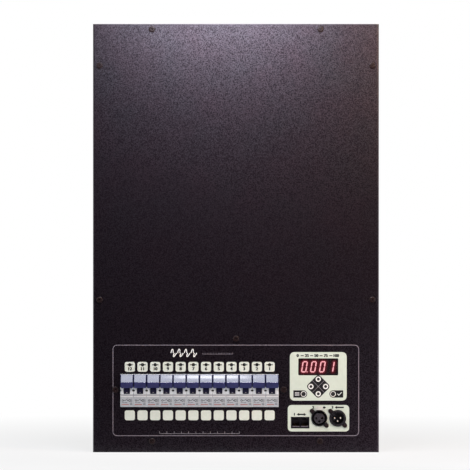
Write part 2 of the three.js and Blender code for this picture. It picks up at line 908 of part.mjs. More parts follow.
// Base plate with upright fins behind it
function heatsink() {
  const rear = sinkFront + sinkBase;
  const edge = sinkWidth / 2;
  const finPitch = (sinkWidth - 2 * finMargin) / (finCount - 1);
  const fins = Array.from({ length: finCount }, (_, i) => {
    const x = ((finCount - 1) / 2 - i) * finPitch;
    const [left, right] = [x - finSheet / 2, x + finSheet / 2];
    return [[right, rear], [right, rear + finHeight], [left, rear + finHeight], [left, rear]];
  }).flat();
  return alongZ([[-edge, sinkFront], [edge, sinkFront], [edge, rear], ...fins, [-edge, rear]], 0, sinkHeight);
}

// Board in front of the heatsink, held by twelve triacs that lie on it, with a driver before each
function powerBoard() {
  const rear = sinkFront - powerBoardStandoff;
  const front = rear - boardSheet;
  const width = sinkWidth - 2 * powerBoardInset;
  const triacPitch = width / (triacCount + 1 / 2);
  const triacFoot = (sinkHeight - triacHeight) * triacLevel;
  const driverFoot = (sinkHeight - driverHeight) * driverLevel;
  const packages = Array.from({ length: triacCount }, (_, i) => {
    const x = (i - (triacCount - 1) / 2) * triacPitch;
    return [
      slab(x - triacWidth / 2, x + triacWidth / 2, sinkFront - seatGap - triacSheet, sinkFront - seatGap,
        triacFoot, triacFoot + triacHeight),
      slab(x - triacLegs / 2, x + triacLegs / 2, rear - sink, sinkFront - seatGap - sink,
        triacFoot, triacFoot + legHeight),
      slab(x - driverWidth / 2, x + driverWidth / 2, front - driverDepth, front + sink,
        driverFoot, driverFoot + driverHeight),
    ];
  }).flat();
  return join(
    slab(-width / 2, width / 2, front, rear, powerBoardRise, sinkHeight - powerBoardRise),
    ...packages,
  );
}

// Four potted ring chokes on one carrier plate
function chokeBank() {
  const face = backWall - chokeStandoff - chokePlateSheet - seatGap;
  const half = chokeLength / 2;
  const [middle, wall] = [(chokeRadius + chokeBore) / 2, chokeRadius - chokeBore];
  const profile = roundedRectangle(middle, 0, wall, chokeLength, chokeRound, 1);
  const points = [...profile, profile[0]].map(([u, v]) => new THREE.Vector2(u, v));
  const ringAt = (x, z) => solid(
    new THREE.LatheGeometry(points, chokeSteps).translate(x, face + sink - half, z),
  );
  const offset = chokePitch / 2;
  return join(
    slab(-chokePlate / 2, chokePlate / 2, face, face + chokePlateSheet, -chokePlate / 2, chokePlate / 2),
    ...pair((sideX) => pair((sideZ) => ringAt(sideX * offset, sideZ * offset))).flat(),
  );
}

function fanFrame() {
  const corners = pair((x) => pair((y) => [x * fanScrew, y * fanScrew])).flat();
  const strutReach = (motorRadius + fanBore) / 2;
  const strutLength = fanBore - motorRadius + 2 * overrun;
  const struts = pair((side) => [
    rectangle(side * strutReach, 0, strutLength, strutWidth),
    rectangle(0, side * strutReach, strutWidth, strutLength),
  ]).flat().map((points) => alongZ(points, fanDepth - strutDepth, fanDepth));
  return cut(
    join(
      cut(
        alongZ(roundedRectangle(0, 0, fanSize, fanSize, fanCorner), 0, fanDepth),
        alongZ(ring(0, 0, fanBore, roundSteps * 2), -overrun, fanDepth + overrun),
        ...corners.map(([x, y]) => (
          alongZ(ring(x, y, fanScrewHole / 2, screwSteps), -overrun, fanDepth + overrun)
        )),
      ),
      alongZ(ring(0, 0, motorRadius), fanDepth - motorDepth, fanDepth),
      ...struts,
    ),
    alongZ(ring(0, 0, shaftRadius + runningGap, holeSteps),
      fanDepth - motorDepth - overrun, fanDepth - motorDepth + shaftLength + runningGap),
  );
}

function fanRotor() {
  const top = fanDepth - motorDepth - runningGap;
  const middle = (hubLift + top) / 2;
  const root = hubRadius - overrun;
  const blades = Array.from({ length: bladeCount }, (_, i) => {
    const geometry = new THREE.BoxGeometry(bladeReach - root, bladeSheet, bladeChord);
    geometry.rotateX(Math.PI / 2 - bladePitch);
    geometry.translate((bladeReach + root) / 2, 0, middle);
    return solid(geometry.rotateZ(2 * Math.PI * i / bladeCount));
  });
  return join(
    alongZ(ring(0, 0, hubRadius), hubLift, top),
    alongZ(ring(0, 0, shaftRadius, holeSteps), top - sink, top + shaftLength),
    ...blades,
  );
}

// Block with a stud and nut for each supply pole
function supplyTerminals() {
  const front = backWall - supplyBase;
  const half = supplyPoles * supplyPitch / 2;
  const poles = Array.from({ length: supplyPoles }, (_, i) => {
    const x = (i + 1 / 2) * supplyPitch - half;
    return join(
      alongY(ring(x, supplyHeight / 2, boltRadius, screwSteps), front - boltReach, front + sink),
      alongY(ring(x, supplyHeight / 2, nutRadius, endSteps), front - nutHeight, front + sink),
    );
  });
  const barriers = Array.from({ length: supplyPoles + 1 }, (_, i) => {
    const x = i * supplyPitch - half;
    return slab(x - barrierSheet / 2, x + barrierSheet / 2, front - barrierReach, backWall, 0, supplyHeight);
  });
  return join(slab(-half, half, front, backWall, 0, supplyHeight), ...poles, ...barriers);
}

// Strip with a screw for each channel's load
function loadTerminals() {
  const front = backWall - loadBase;
  const half = loadPoles * loadPitch / 2;
  const screws = Array.from({ length: loadPoles }, (_, i) => (
    alongY(ring((i + 1 / 2) * loadPitch - half, loadHeight / 2, loadScrewRadius, endSteps),
      front - loadScrewReach, front + sink)
  ));
  const barriers = Array.from({ length: loadPoles + 1 }, (_, i) => {
    const x = i * loadPitch - half;
    return slab(x - barrierSheet / 2, x + barrierSheet / 2,
      front - loadBarrierReach, backWall, 0, loadHeight);
  });
  return join(slab(-half, half, front, backWall, 0, loadHeight), ...screws, ...barriers);
}

function controlTransformer() {
  const core = backWall - (bobbinDepth - coreDepth) / 2;
  return join(
    slab(-coreWidth / 2, coreWidth / 2, core - coreDepth, core, -coreHeight / 2, coreHeight / 2),
    slab(-bobbinWidth / 2, bobbinWidth / 2, backWall - bobbinDepth, backWall - sink,
      -bobbinHeight / 2, bobbinHeight / 2),
    slab(-footWidth / 2, footWidth / 2, backWall - sheet, backWall, -footHeight / 2, footHeight / 2),
  );
}

function powerStage() {
  return group(
    0, 0, sinkZ,
    piece('heatsink', heatsink(), paint.aluminium),
    piece('power_board', powerBoard(), paint.board),
  );
}

function fan() {
  return group(
    0, fanSetback, shelfZ,
    piece('fan_frame', fanFrame(), paint.black),
    piece('fan_rotor', fanRotor(), paint.black),
  );
}

function cableEntry() {
  const size = mainsGrommetSize;
  return group(
    0, windowSetback, caseHeight - sheet,
    piece('gland_plate', glandPlate(), paint.case),
    placed(piece('mains_grommet', grommet(size, size), paint.rubber), mainsGrommetX, 0, 0),
    placed(piece('load_grommet', grommet(loadGrommetLength, loadGrommetWidth), paint.rubber),
      loadGrommetX, 0, 0),
  );
}

const dimmerPack = new THREE.Group();
dimmerPack.add(group(
  0, (caseFront - caseDepth) / 2, 0,
  piece('rear_chassis', rearChassis(), paint.case),
  piece('front_cover', frontCover(), paint.case),
  placed(piece('partition_shelf', partitionShelf(), paint.zinc), 0, 0, shelfZ),
  cableEntry(),
  breakerRow(),
  displayUnit(),
  connectorUnit(),
  powerStage(),
  ...chokeBanks.map((x, i) => placed(piece(`choke_bank_${i + 1}`, chokeBank(), paint.ferrite), x, 0, chokeZ)),
  fan(),
  placed(piece('supply_terminals', supplyTerminals(), paint.black),
    terminalMargin + supplyWidth / 2 - chassisInner, 0, caseHeight - supplyDrop),
  placed(piece('load_terminals', loadTerminals(), paint.black),
    chassisInner - terminalMargin - loadWidth / 2, 0, caseHeight - loadDrop),
  placed(piece('control_transformer', controlTransformer(), paint.ferrite),
    caseWidth / 2 - transformerInset, 0, transformerZ),
));

export default dimmerPack;
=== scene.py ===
import json
import math
import random

import bmesh
import bpy
from mathutils import Matrix, Vector

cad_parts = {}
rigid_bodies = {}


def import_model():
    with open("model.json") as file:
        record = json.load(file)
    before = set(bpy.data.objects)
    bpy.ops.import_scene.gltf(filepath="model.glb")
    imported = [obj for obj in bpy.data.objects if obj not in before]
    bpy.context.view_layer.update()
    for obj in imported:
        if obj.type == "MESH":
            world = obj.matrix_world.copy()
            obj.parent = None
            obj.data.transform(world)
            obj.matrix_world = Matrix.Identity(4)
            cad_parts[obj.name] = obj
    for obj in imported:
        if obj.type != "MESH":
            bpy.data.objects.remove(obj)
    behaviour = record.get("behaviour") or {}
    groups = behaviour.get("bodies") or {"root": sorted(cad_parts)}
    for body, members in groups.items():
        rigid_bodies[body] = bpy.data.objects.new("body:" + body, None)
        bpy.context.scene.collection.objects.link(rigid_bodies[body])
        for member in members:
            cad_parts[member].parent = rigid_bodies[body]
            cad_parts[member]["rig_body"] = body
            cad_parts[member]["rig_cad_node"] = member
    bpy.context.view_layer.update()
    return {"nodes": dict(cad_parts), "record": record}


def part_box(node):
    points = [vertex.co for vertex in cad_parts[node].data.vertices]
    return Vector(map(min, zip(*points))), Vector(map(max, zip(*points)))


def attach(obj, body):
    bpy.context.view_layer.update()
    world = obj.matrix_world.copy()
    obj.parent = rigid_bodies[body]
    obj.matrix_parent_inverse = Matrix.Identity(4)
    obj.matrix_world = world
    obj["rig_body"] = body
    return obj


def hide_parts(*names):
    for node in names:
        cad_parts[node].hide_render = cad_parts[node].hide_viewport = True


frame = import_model()
nodes = frame["nodes"]
mm = 0.001
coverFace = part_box("front_cover")[0].y  # places are given in mm, Y from this face
print("frame loaded:", len(nodes), "nodes")


# --- small helpers for picking and changing things ---

def deselect():
    bpy.ops.object.select_all(action="DESELECT")


def pick(obj):
    deselect()
    obj.select_set(True)
    bpy.context.view_layer.objects.active = obj


def named(obj, name):
    obj.name = obj.data.name = name
    return obj


def added(name, operator, **settings):
    deselect()
    operator(**settings)
    return named(bpy.context.object, name)


def discard(*objs):
    for obj in objs:
        bpy.data.objects.remove(obj)


def openMesh(obj, action="DESELECT"):
    pick(obj)
    bpy.ops.object.mode_set(mode="EDIT")
    bpy.ops.mesh.select_all(action=action)


def closeMesh():
    bpy.ops.object.mode_set(mode="OBJECT")


def choose(obj, kind, test):
    bpy.ops.mesh.select_mode(type=kind)
    mesh = bmesh.from_edit_mesh(obj.data)
    for part in mesh.faces if kind == "FACE" else mesh.edges:
        part.select_set(bool(test(part)))
    bmesh.update_edit_mesh(obj.data)


def chooseFaces(obj, test):
    # selects the faces whose middle and normal pass the test
    choose(obj, "FACE", lambda face: test(face.calc_center_median(), face.normal))


def chooseEdges(obj, test):
    # selects the edges whose two ends pass the test
    choose(obj, "EDGE", lambda edge: test(edge.verts[0].co, edge.verts[1].co))


def modify(obj, kind, **settings):
    pick(obj)
    modifier = obj.modifiers.new(kind.title(), kind)
    for key, value in settings.items():
        setattr(modifier, key, value)
    bpy.ops.object.modifier_apply(modifier=modifier.name)
    return obj


def smooth(obj, angle=35):
    # smooth shading in which large flat faces stay flat
    pick(obj)
    bpy.ops.object.shade_smooth_by_angle(angle=math.radians(angle))
    return modify(obj, "WEIGHTED_NORMAL", keep_sharp=True)


def rounded(obj, width, segments=2, angle=40):
    modify(obj, "BEVEL", width=width * mm, segments=segments, limit_method="ANGLE",
           angle_limit=math.radians(angle), use_clamp_overlap=True)
    return smooth(obj)


def roundedWhere(obj, test, width, segments):
    # rounds only the edges whose two ends pass the test
    openMesh(obj)
    chooseEdges(obj, test)
    bpy.ops.mesh.bevel(offset=width * mm, segments=segments)
    closeMesh()
    return obj


def carve(obj, *others, operation="DIFFERENCE"):
    for other in others:
        modify(obj, "BOOLEAN", operation=operation, solver="EXACT", object=other)
        discard(other)
    return obj


def weld(obj, *others):
    return carve(obj, *others, operation="UNION")


def joined(name, parts):
    deselect()
    for part in parts:
        part.select_set(True)
    bpy.context.view_layer.objects.active = parts[0]
    bpy.ops.object.join()
    return named(parts[0], name)


def shifted(obj, x=0, y=0, z=0):
    obj.data.transform(Matrix.Translation(Vector((x, y, z)) * mm))
    return obj


def turned(obj, angle, axis="Z"):
    obj.data.transform(Matrix.Rotation(angle, 4, axis))
    return obj


def copied(obj, name, x=0, y=0, z=0):
    twin = obj.copy()
    twin.data = obj.data.copy()
    bpy.context.collection.objects.link(twin)
    return shifted(named(twin, name), x, y, z)


def span(node):
    # a node's box in mm: left and right, back and front before the cover's face, foot and top
    low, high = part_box(node)
    return ((low.x / mm, high.x / mm), ((coverFace - high.y) / mm, (coverFace - low.y) / mm),
            (low.z / mm, high.z / mm))


# --- outlines, in mm ---

def around(u, v, radius, turns):
    return [(u + radius * math.cos(a), v + radius * math.sin(a)) for a in turns]


def circle(u, v, radius, count=48):
    return around(u, v, radius, [2 * math.pi * i / count for i in range(count)])


def arc(u, v, radius, start, end, count):
    # part of a circle, from start to end in degrees
    return around(u, v, radius, [math.radians(start + (end - start) * i / count) for i in range(count + 1)])


def softBox(u, v, width, height, radius, count=8):
    right, top = width / 2 - radius, height / 2 - radius
    corners = [(right, -top, -90), (right, top, 0), (-right, top, 90), (-right, -top, 180)]
    return [point for a, b, start in corners
            for point in arc(u + a, v + b, radius, start, start + 90, count)]


def bar(u, v, width, height):
    return [(u - width / 2, v - height / 2), (u + width / 2, v - height / 2),
            (u + width / 2, v + height / 2), (u - width / 2, v + height / 2)]


def sideways(a, b, width):
    # half of a line's width, square to its way from a to b
    along = (Vector(b) - Vector(a)).normalized()
    return Vector((-along.y, along.x)) * width / 2


def stroke(a, b, width):
    side = sideways(a, b, width)
    return [tuple(Vector(p) + s) for p, s in ((a, -side), (b, -side), (b, side), (a, side))]


# --- solids from outlines, drawn flat and then stood up ---

def drawFlat(name, points):
    obj = added(name, bpy.ops.mesh.primitive_circle_add, vertices=len(points), radius=mm, fill_type="NGON")
    bpy.ops.object.mode_set(mode="EDIT")
    mesh = bmesh.from_edit_mesh(obj.data)
    for vert, (u, v) in zip(mesh.verts, points):
        vert.co = (u * mm, v * mm, 0)
    bmesh.update_edit_mesh(obj.data)
    bpy.ops.mesh.select_all(action="SELECT")
    return obj


def raiseFlat(obj, low, high):
    # the flat outline becomes a solid from low to high
    bpy.ops.mesh.select_all(action="SELECT")
    bpy.ops.transform.translate(value=(0, 0, low * mm))
    bpy.ops.mesh.extrude_region_move(TRANSFORM_OT_translate={"value": (0, 0, (high - low) * mm)})
    bpy.ops.mesh.select_all(action="SELECT")
    bpy.ops.mesh.normals_make_consistent(inside=False)
    closeMesh()
    return obj


def solidShape(name, points, low, high):
    return raiseFlat(drawFlat(name, points), low, high)


def disc(name, radius, low, high, count=64):
    return solidShape(name, circle(0, 0, radius, count), low, high)


def hollowShape(name, points, wall, low, high):
    # only a rim of this width stays of the outline
    obj = drawFlat(name, points)
    bpy.ops.mesh.inset(thickness=wall * mm, depth=0)
    bpy.ops.mesh.delete(type="FACE")
    return raiseFlat(obj, low, high)


frontWay = Matrix.Translation((0, coverFace, 0)) @ Matrix.Rotation(math.pi / 2, 4, "X")
sideWay = Matrix.Translation((0, coverFace, 0)) @ Matrix(
    ((0, 0, 1, 0), (1, 0, 0, 0), (0, 1, 0, 0), (0, 0, 0, 1)))
inkSink, inkLift = 0.02, 0.05  # a print reaches this far into its face and before it
above = 5  # cutters end this far before the cover's face


def stood(obj, way=frontWay):
    obj.data.transform(way)
    return obj


def proud(name, points, low, high):
    # solid on the front, from low to high before the cover's face
    return stood(solidShape(name, points, low, high))


def proudRim(name, points, wall, low, high):
    return stood(hollowShape(name, points, wall, low, high))


def fromSide(name, points, left, right):
    # solid drawn in Y and Z, from left to right
    return stood(solidShape(name, points, left, right), sideWay)


def printed(name, points, base=0):
    # thin print on a face this far before the cover's
    return proud(name, points, base - inkSink, base + inkLift)


def printedRim(name, points, line, base=0):
    return proudRim(name, points, line, base - inkSink, base + inkLift)


def dressedCopy(name, node, width=0.4, segments=2, angle=30):
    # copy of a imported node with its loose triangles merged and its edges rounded
    obj = copied(nodes[node], name)
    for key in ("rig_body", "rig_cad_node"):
        del obj[key]
    obj.parent = None
    openMesh(obj, "SELECT")
    bpy.ops.mesh.remove_doubles(threshold=0.00001)
    bpy.ops.mesh.dissolve_limited(angle_limit=math.radians(1))
    closeMesh()
    return rounded(obj, width, segments, angle)


def give(obj, finish, body="case", slot=None, stands=()):
    # finish and body of a made piece, and the nodes it stands for; its slot is not used
    if finish:
        obj.data.materials.clear()
        obj.data.materials.append(finishes[finish])
    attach(obj, body)
    if stands:
        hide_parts(*stands)
    return obj


def inked(name, ink, shapes, base=0):
    # a print of several shapes
    give(joined(name, [printed(name, shape, base) for shape in shapes]), ink)


# --- finishes ---

finishes = {}
shine = "Specular IOR Level"


def feed(tree, node, inputs):
    # each input takes a value or another node's output
    for key, value in inputs.items():
        if isinstance(value, bpy.types.NodeSocket):
            tree.links.new(value, node.inputs[key])
        else:
            node.inputs[key].default_value = value
    return node


def newFinish(name, inputs):
    material = bpy.data.materials.new(name)
    material.use_nodes = True
    finishes[name] = material
    tree = material.node_tree
    return tree, feed(tree, tree.nodes["Principled BSDF"], inputs)


def addNode(tree, kind, inputs, **settings):
    node = tree.nodes.new("ShaderNode" + kind)
    for key, value in settings.items():
        setattr(node, key, value)
    return feed(tree, node, inputs)


def calculated(tree, operation, a, b):
    return addNode(tree, "Math", {0: a, 1: b}, operation=operation).outputs[0]


def objectSpot(tree):
    return addNode(tree, "TexCoord", {}).outputs["Object"]


def noise(tree, size, detail=2.0, rough=0.5, stretch=(1, 1, 1)):
    # noise on the object's own coordinates, with spots of this size in mm
    spot = objectSpot(tree)
    if stretch != (1, 1, 1):
        spot = addNode(tree, "Mapping", {"Vector": spot, "Scale": stretch}).outputs[0]
    inputs = {"Vector": spot, "Scale": 1 / (size * mm), "Detail": detail, "Roughness": rough}
    return addNode(tree, "TexNoise", inputs).outputs["Fac"]


def spread(tree, factor, low, high, start=0.35, end=0.65):
    inputs = {"Value": factor, "From Min": start, "From Max": end, "To Min": low, "To Max": high}
    return addNode(tree, "MapRange", inputs).outputs[0]


def mix(tree, factor, *tones):
    first, second = (tone if isinstance(tone, bpy.types.NodeSocket) else (*tone, 1) for tone in tones)
    return addNode(tree, "Mix", {"Factor": factor, 6: first, 7: second}, data_type="RGBA").outputs[2]


def bump(tree, height, distance, strength=1.0):
    inputs = {"Height": height, "Distance": distance * mm, "Strength": strength}
    return addNode(tree, "Bump", inputs).outputs[0]


def mottled(name, dark, light, patch, grain, relief, rough, other=None, stretch=(1, 1, 1)):
    # colour that wanders between two tones, with a fine grain in its surface
    tree, shader = newFinish(name, other or {})
    wander = spread(tree, noise(tree, patch, 3, 0.6, stretch), 0, 1)
    fine = noise(tree, grain, 2, 0.5, stretch)
    feed(tree, shader, {"Base Color": mix(tree, wander, dark, light),
                        "Roughness": spread(tree, fine, *rough), "Normal": bump(tree, fine, relief)})


coatLook = dict(
    dark=(0.0050, 0.0031, 0.0052), light=(0.0062, 0.0040, 0.0064), cool=(0.90, 0.88, 1.0),
    warm=(1.0, 0.84, 0.98), patch=70, speck=1.35, grain=1.1, relief=0.075, strength=0.9,
    rough=(0.29, 0.395), gloss=(0.12, 0.58),
)


def powderCoat(dark, light, cool, warm, patch, speck, grain, relief, strength, rough, gloss):
    tree, shader = newFinish("powderCoat", {})
    specks = noise(tree, speck, 1, 0.6)
    grains = noise(tree, grain, 2, 0.6)
    patches = spread(tree, noise(tree, patch, 3, 0.5), 0, 1)
    feed(tree, shader, {
        "Base Color": mix(tree, spread(tree, specks, 0, 1), dark, light),
        "Specular Tint": mix(tree, patches, cool, warm), shine: spread(tree, specks, *gloss),
        "Roughness": spread(tree, grains, *rough), "Normal": bump(tree, grains, relief, strength),
    })


boardLook = dict(
    tracks=210, trackEdge=(0.04, 0.07), pads=320, padEdge=(0.13, 0.17), patch=9, dark=(0.012, 0.09, 0.03),
    light=(0.02, 0.13, 0.045), track=(0.05, 0.26, 0.09), pad=(0.62, 0.6, 0.52), relief=0.04,
)


def circuitBoard(tracks, trackEdge, pads, padEdge, patch, dark, light, track, pad, relief):
    tree, shader = newFinish("circuitBoard", {"Roughness": 0.38})
    spot = objectSpot(tree)
    lines = addNode(tree, "TexVoronoi", {"Vector": spot, "Scale": tracks}, distance="MANHATTAN",
                    feature="DISTANCE_TO_EDGE").outputs["Distance"]
    dots = addNode(tree, "TexVoronoi", {"Vector": spot, "Scale": pads}).outputs["Distance"]
    onTrack = spread(tree, lines, 1, 0, *trackEdge)
    green = mix(tree, spread(tree, noise(tree, patch), 0, 1), dark, light)
    lined = mix(tree, onTrack, green, track)
    feed(tree, shader, {"Base Color": mix(tree, spread(tree, dots, 1, 0, *padEdge), lined, pad),
                        "Normal": bump(tree, onTrack, relief, 0.6)})


ringLook = dict(
    core=(0.33, 0.26, 0.06), wire=(0.42, 0.17, 0.07), turns=150, wander=0.6, wireEdge=(0.25, 0.5),
    relief=0.5,
)


def woundRing(core, wire, turns, wander, wireEdge, relief):
    # bright core ring under spaced copper turns
    tree, shader = newFinish("woundRing", {"Roughness": 0.34, "Coat Weight": 0.5})
    wave = addNode(tree, "TexWave", {"Vector": objectSpot(tree), "Scale": turns, "Distortion": wander},
                   bands_direction="DIAGONAL").outputs["Fac"]
    feed(tree, shader, {"Base Color": mix(tree, spread(tree, wave, 0, 1, *wireEdge), core, wire),
                        "Normal": bump(tree, wave, relief)})


metal = {"Metallic": 1.0}
mottledLook = dict(
    # two tones, patch, grain and relief in mm, roughness, other sockets, stretch of the pattern
    zincPlate=((0.5, 0.5, 0.49), (0.64, 0.64, 0.63), 3, 0.5, 0.004, (0.3, 0.45), metal),
    heatsinkMetal=((0.46, 0.47, 0.48), (0.6, 0.61, 0.62), 3, 0.5, 0.004, (0.25, 0.4), metal, (1, 1, 0.04)),
    nickel=((0.68, 0.67, 0.64), (0.8, 0.79, 0.76), 3, 0.5, 0.004, (0.14, 0.24), metal, (0.2, 1, 1)),
    copperStrip=((0.55, 0.26, 0.14), (0.72, 0.38, 0.22), 3, 0.5, 0.004, (0.25, 0.4), metal, (0.05, 1, 1)),
    contactGold=((0.45, 0.34, 0.16), (0.58, 0.45, 0.24), 3, 0.5, 0.004, (0.2, 0.3), metal),
    pinSilver=((0.8, 0.79, 0.76), (0.88, 0.87, 0.84), 2, 0.3, 0.002, (0.3, 0.4), {"Metallic": 0.2}),
    latchSilver=((0.6, 0.61, 0.55), (0.7, 0.71, 0.65), 2, 0.3, 0.002, (0.3, 0.4), {"Metallic": 0.3}),
    labelCream=((0.553, 0.616, 0.523), (0.585, 0.65, 0.555), 7, 0.5, 0.006, (0.36, 0.46), {shine: 0.4}),
    tileCream=((0.62, 0.662, 0.582), (0.652, 0.695, 0.615), 4, 0.5, 0.006, (0.4, 0.5), {shine: 0.4}),
    breakerGrey=((0.57, 0.61, 0.635), (0.64, 0.68, 0.705), 5, 0.25, 0.008, (0.38, 0.5)),
    plateGrey=((0.376, 0.402, 0.428), (0.435, 0.464, 0.494), 4, 0.25, 0.004, (0.3, 0.4)),
    toggleBlue=((0.014, 0.014, 0.07), (0.02, 0.02, 0.09), 6, 0.4, 0.0004, (0.13, 0.18),
                {shine: 1.0, "Coat Weight": 0.9, "Coat Roughness": 0.1}),
    # painted shade: matte deeper blue for the lever's faces that do not look upward
    toggleDeep=((0.02, 0.023, 0.11), (0.029, 0.032, 0.142), 6, 0.4, 0.002, (0.4, 0.5), {shine: 0.3}),
    # painted shade: near-black blue for the drum, darkened as the shade inside the breaker's slot
    drumShadedBlue=((0.003, 0.003, 0.018), (0.006, 0.006, 0.03), 4, 0.4, 0.002, (0.4, 0.5), {shine: 0.3}),
    socketBlack=((0.005, 0.0045, 0.0065), (0.01, 0.009, 0.012), 3, 0.25, 0.01, (0.36, 0.46), {shine: 0.25}),
    insertGrey=((0.018, 0.016, 0.021), (0.03, 0.027, 0.034), 3, 0.3, 0.01, (0.4, 0.5)),
    keyBlack=((0.006, 0.006, 0.006), (0.012, 0.012, 0.012), 2, 0.2, 0.008, (0.35, 0.5)),
    screwBlack=((0.01, 0.0055, 0.006), (0.021, 0.0115, 0.0125), 1.5, 0.2, 0.01, (0.26, 0.36), {shine: 0.2}),
    smokedLens=((0.006, 0.006, 0.007), (0.01, 0.01, 0.011), 8, 1.0, 0.001, (0.05, 0.09), {"Alpha": 0.42}),
    blackMoulding=((0.012, 0.012, 0.013), (0.022, 0.022, 0.023), 6, 0.3, 0.02, (0.42, 0.55)),
    ironCore=((0.14, 0.12, 0.1), (0.24, 0.21, 0.18), 5, 0.5, 0.03, (0.4, 0.6), {}, (1, 1, 8)),
    rubber=((0.01, 0.01, 0.01), (0.02, 0.02, 0.02), 4, 0.4, 0.02, (0.7, 0.85)),
    inkBlack=((0.005, 0.005, 0.006), (0.01, 0.01, 0.011), 2, 0.3, 0.002, (0.4, 0.5), {shine: 0.25}),
    inkWhite=((0.74, 0.74, 0.71), (0.83, 0.83, 0.8), 2, 0.3, 0.002, (0.45, 0.55)),
    inkGrey=((0.15, 0.13, 0.155), (0.21, 0.185, 0.215), 3, 0.4, 0.002, (0.45, 0.55)),
    inkDim=((0.16, 0.15, 0.165), (0.3, 0.28, 0.31), 2, 0.3, 0.002, (0.45, 0.55)),
    inkSlate=((0.042, 0.044, 0.048), (0.078, 0.082, 0.086), 1.2, 0.3, 0.002, (0.45, 0.55)),
    inkRed=((0.3, 0.05, 0.045), (0.42, 0.11, 0.08), 2, 0.3, 0.002, (0.45, 0.55)),
)
slotFinish = dict(
    case_black="powderCoat", zinc_plated="zincPlate", label_cream="labelCream",
    breaker_grey="breakerGrey", toggle_blue="toggleBlue", socket_black="socketBlack",
    key_black="keyBlack", latch_steel="nickel", lens_smoke="smokedLens", display_black="blackMoulding",
    board_green="circuitBoard", heatsink_aluminium="heatsinkMetal", choke_yellow="woundRing",
    fan_black="blackMoulding", terminal_black="blackMoulding", transformer_iron="ironCore",
    busbar_copper="copperStrip", rubber_black="rubber",
)


def makeFinishes():
    powderCoat(**coatLook)
    circuitBoard(**boardLook)
    woundRing(**ringLook)
    for name, look in mottledLook.items():
        mottled(name, *look)
    for part in frame["record"]["subparts"]:
        for held in nodes[part["node"]].material_slots:
            held.material = finishes[slotFinish[part["material_slot"]]]


makeFinishes()
print("finishes made:", len(finishes))


# --- screws of the cover ---

screwLook = dict(head=8.8, rise=2.6, edge=1.7, cross=5.0, blade=1.3, deep=1.6, shank=4.0, length=5.0)
screwSpots = [(-114.6, 577), (115.2, 577), (-114.5, 15), (114.5, 15), (-186, 527.5), (186, 527.5),
              (-186, 207.9), (186, 207.9), (0, 154.8), (-164.4, 85.3), (65.0, 85.3)]
crossTaper = 0.35  # width of a cross at its foot, as a share


def crossHead(head, rise, edge, cross, blade, deep, shank, length):
    obj = disc("screw", head / 2, 0, rise, 40)
    openMesh(obj)
    chooseFaces(obj, lambda middle, normal: normal.z < -0.9)
    bpy.ops.mesh.inset(thickness=(head - shank) / 2 * mm, depth=0)
    bpy.ops.mesh.extrude_region_move(TRANSFORM_OT_translate={"value": (0, 0, -length * mm)})
    chooseEdges(obj, lambda a, b: min(a.z, b.z) > rise * mm * 0.9)
    bpy.ops.mesh.bevel(offset=edge * mm, segments=6, profile=0.55)
    closeMesh()
    arm, half = cross / 2, blade / 2
    plus = [(arm, -half), (arm, half), (half, half)]
    for i in range(9):
        plus.append((-plus[i][1], plus[i][0]))
    cutter = solidShape("cutter", plus, rise - deep, rise + 1)
    openMesh(cutter)
    chooseFaces(cutter, lambda middle, normal: normal.z < -0.9)
    bpy.ops.transform.resize(value=(crossTaper, crossTaper, 1), center_override=(0, 0, 0))
    closeMesh()
    return rounded(carve(obj, cutter), 0.12, 1, 50)


def coverScrews():
    first = crossHead(**screwLook)
    shake = random.Random(7)
    for index, (x, z) in enumerate(screwSpots):
        obj = turned(copied(first, f"cover_screw_{index + 1}"), shake.uniform(0, math.pi / 2))
        give(shifted(stood(obj), x, 0, z), "screwBlack", slot="case_black")
    discard(first)


coverScrews()
print("screws in")


# --- printed border, tiles and marks on the cover ---

borderLook = dict(left=-168.2, right=168.0, foot=22.1, top=146.6, corner=6.0, line=1.0)
tileLook = dict(
    middle=-49.4, pitch=17.33, width=13.9, height=13.5, corner=2.8, thick=0.3, edge=0.12, upper=116.5,
    lower=50.4, size=5.9, bold=0.3, numberDrop=2.85, symbolRise=2.8, radius=2.3, lead=2.1, line=1.3,
)
numberLook = dict(swell=0.14, apart=0.004, steps=4)
channels = range(1, 13)


def channelX(channel, middle, pitch):
    # the channels are counted from right to left
    return middle + (6.5 - channel) * pitch


def border(left, right, foot, top, corner, line):
    points = softBox((left + right) / 2, (foot + top) / 2, right - left, top - foot, corner)
    give(printedRim("border_line", points, line), "inkGrey")


def number(name, text, x, z, size, base, bold):
    # plain bold number that lies on a face this far before the cover's
    return joined(name, [thinNumber(name, text, x + side * bold, z, size,
                                    base + side * numberLook["apart"]) for side in (-1, 1)])


def thinNumber(name, text, x, z, size, base):
    words = added(name, bpy.ops.object.text_add).data
    words.body, words.size, words.offset = text, size * mm, numberLook["swell"] * mm
    words.align_x = words.align_y = "CENTER"
    words.extrude, words.resolution_u = inkLift / 2 * mm, numberLook["steps"]
    bpy.ops.object.convert(target="MESH")
    return stood(shifted(named(bpy.context.object, name), x, z, base + (inkLift - inkSink) / 2))


def lampSymbol(radius, lead, line, base):
    # lamp between two leads, as drawn in a circuit
    leg = (radius - line / 2) * math.sqrt(0.5)
    parts = [printedRim("symbol", circle(0, 0, radius, 28), line, base)]
    parts += [printed("leg", stroke((-leg, -s * leg), (leg, s * leg), line * 0.8), base) for s in (-1, 1)]
    parts += [printed("lead", bar(s * (radius + lead / 2), 0, lead, line), base) for s in (-1, 1)]
    return joined("symbol", parts)


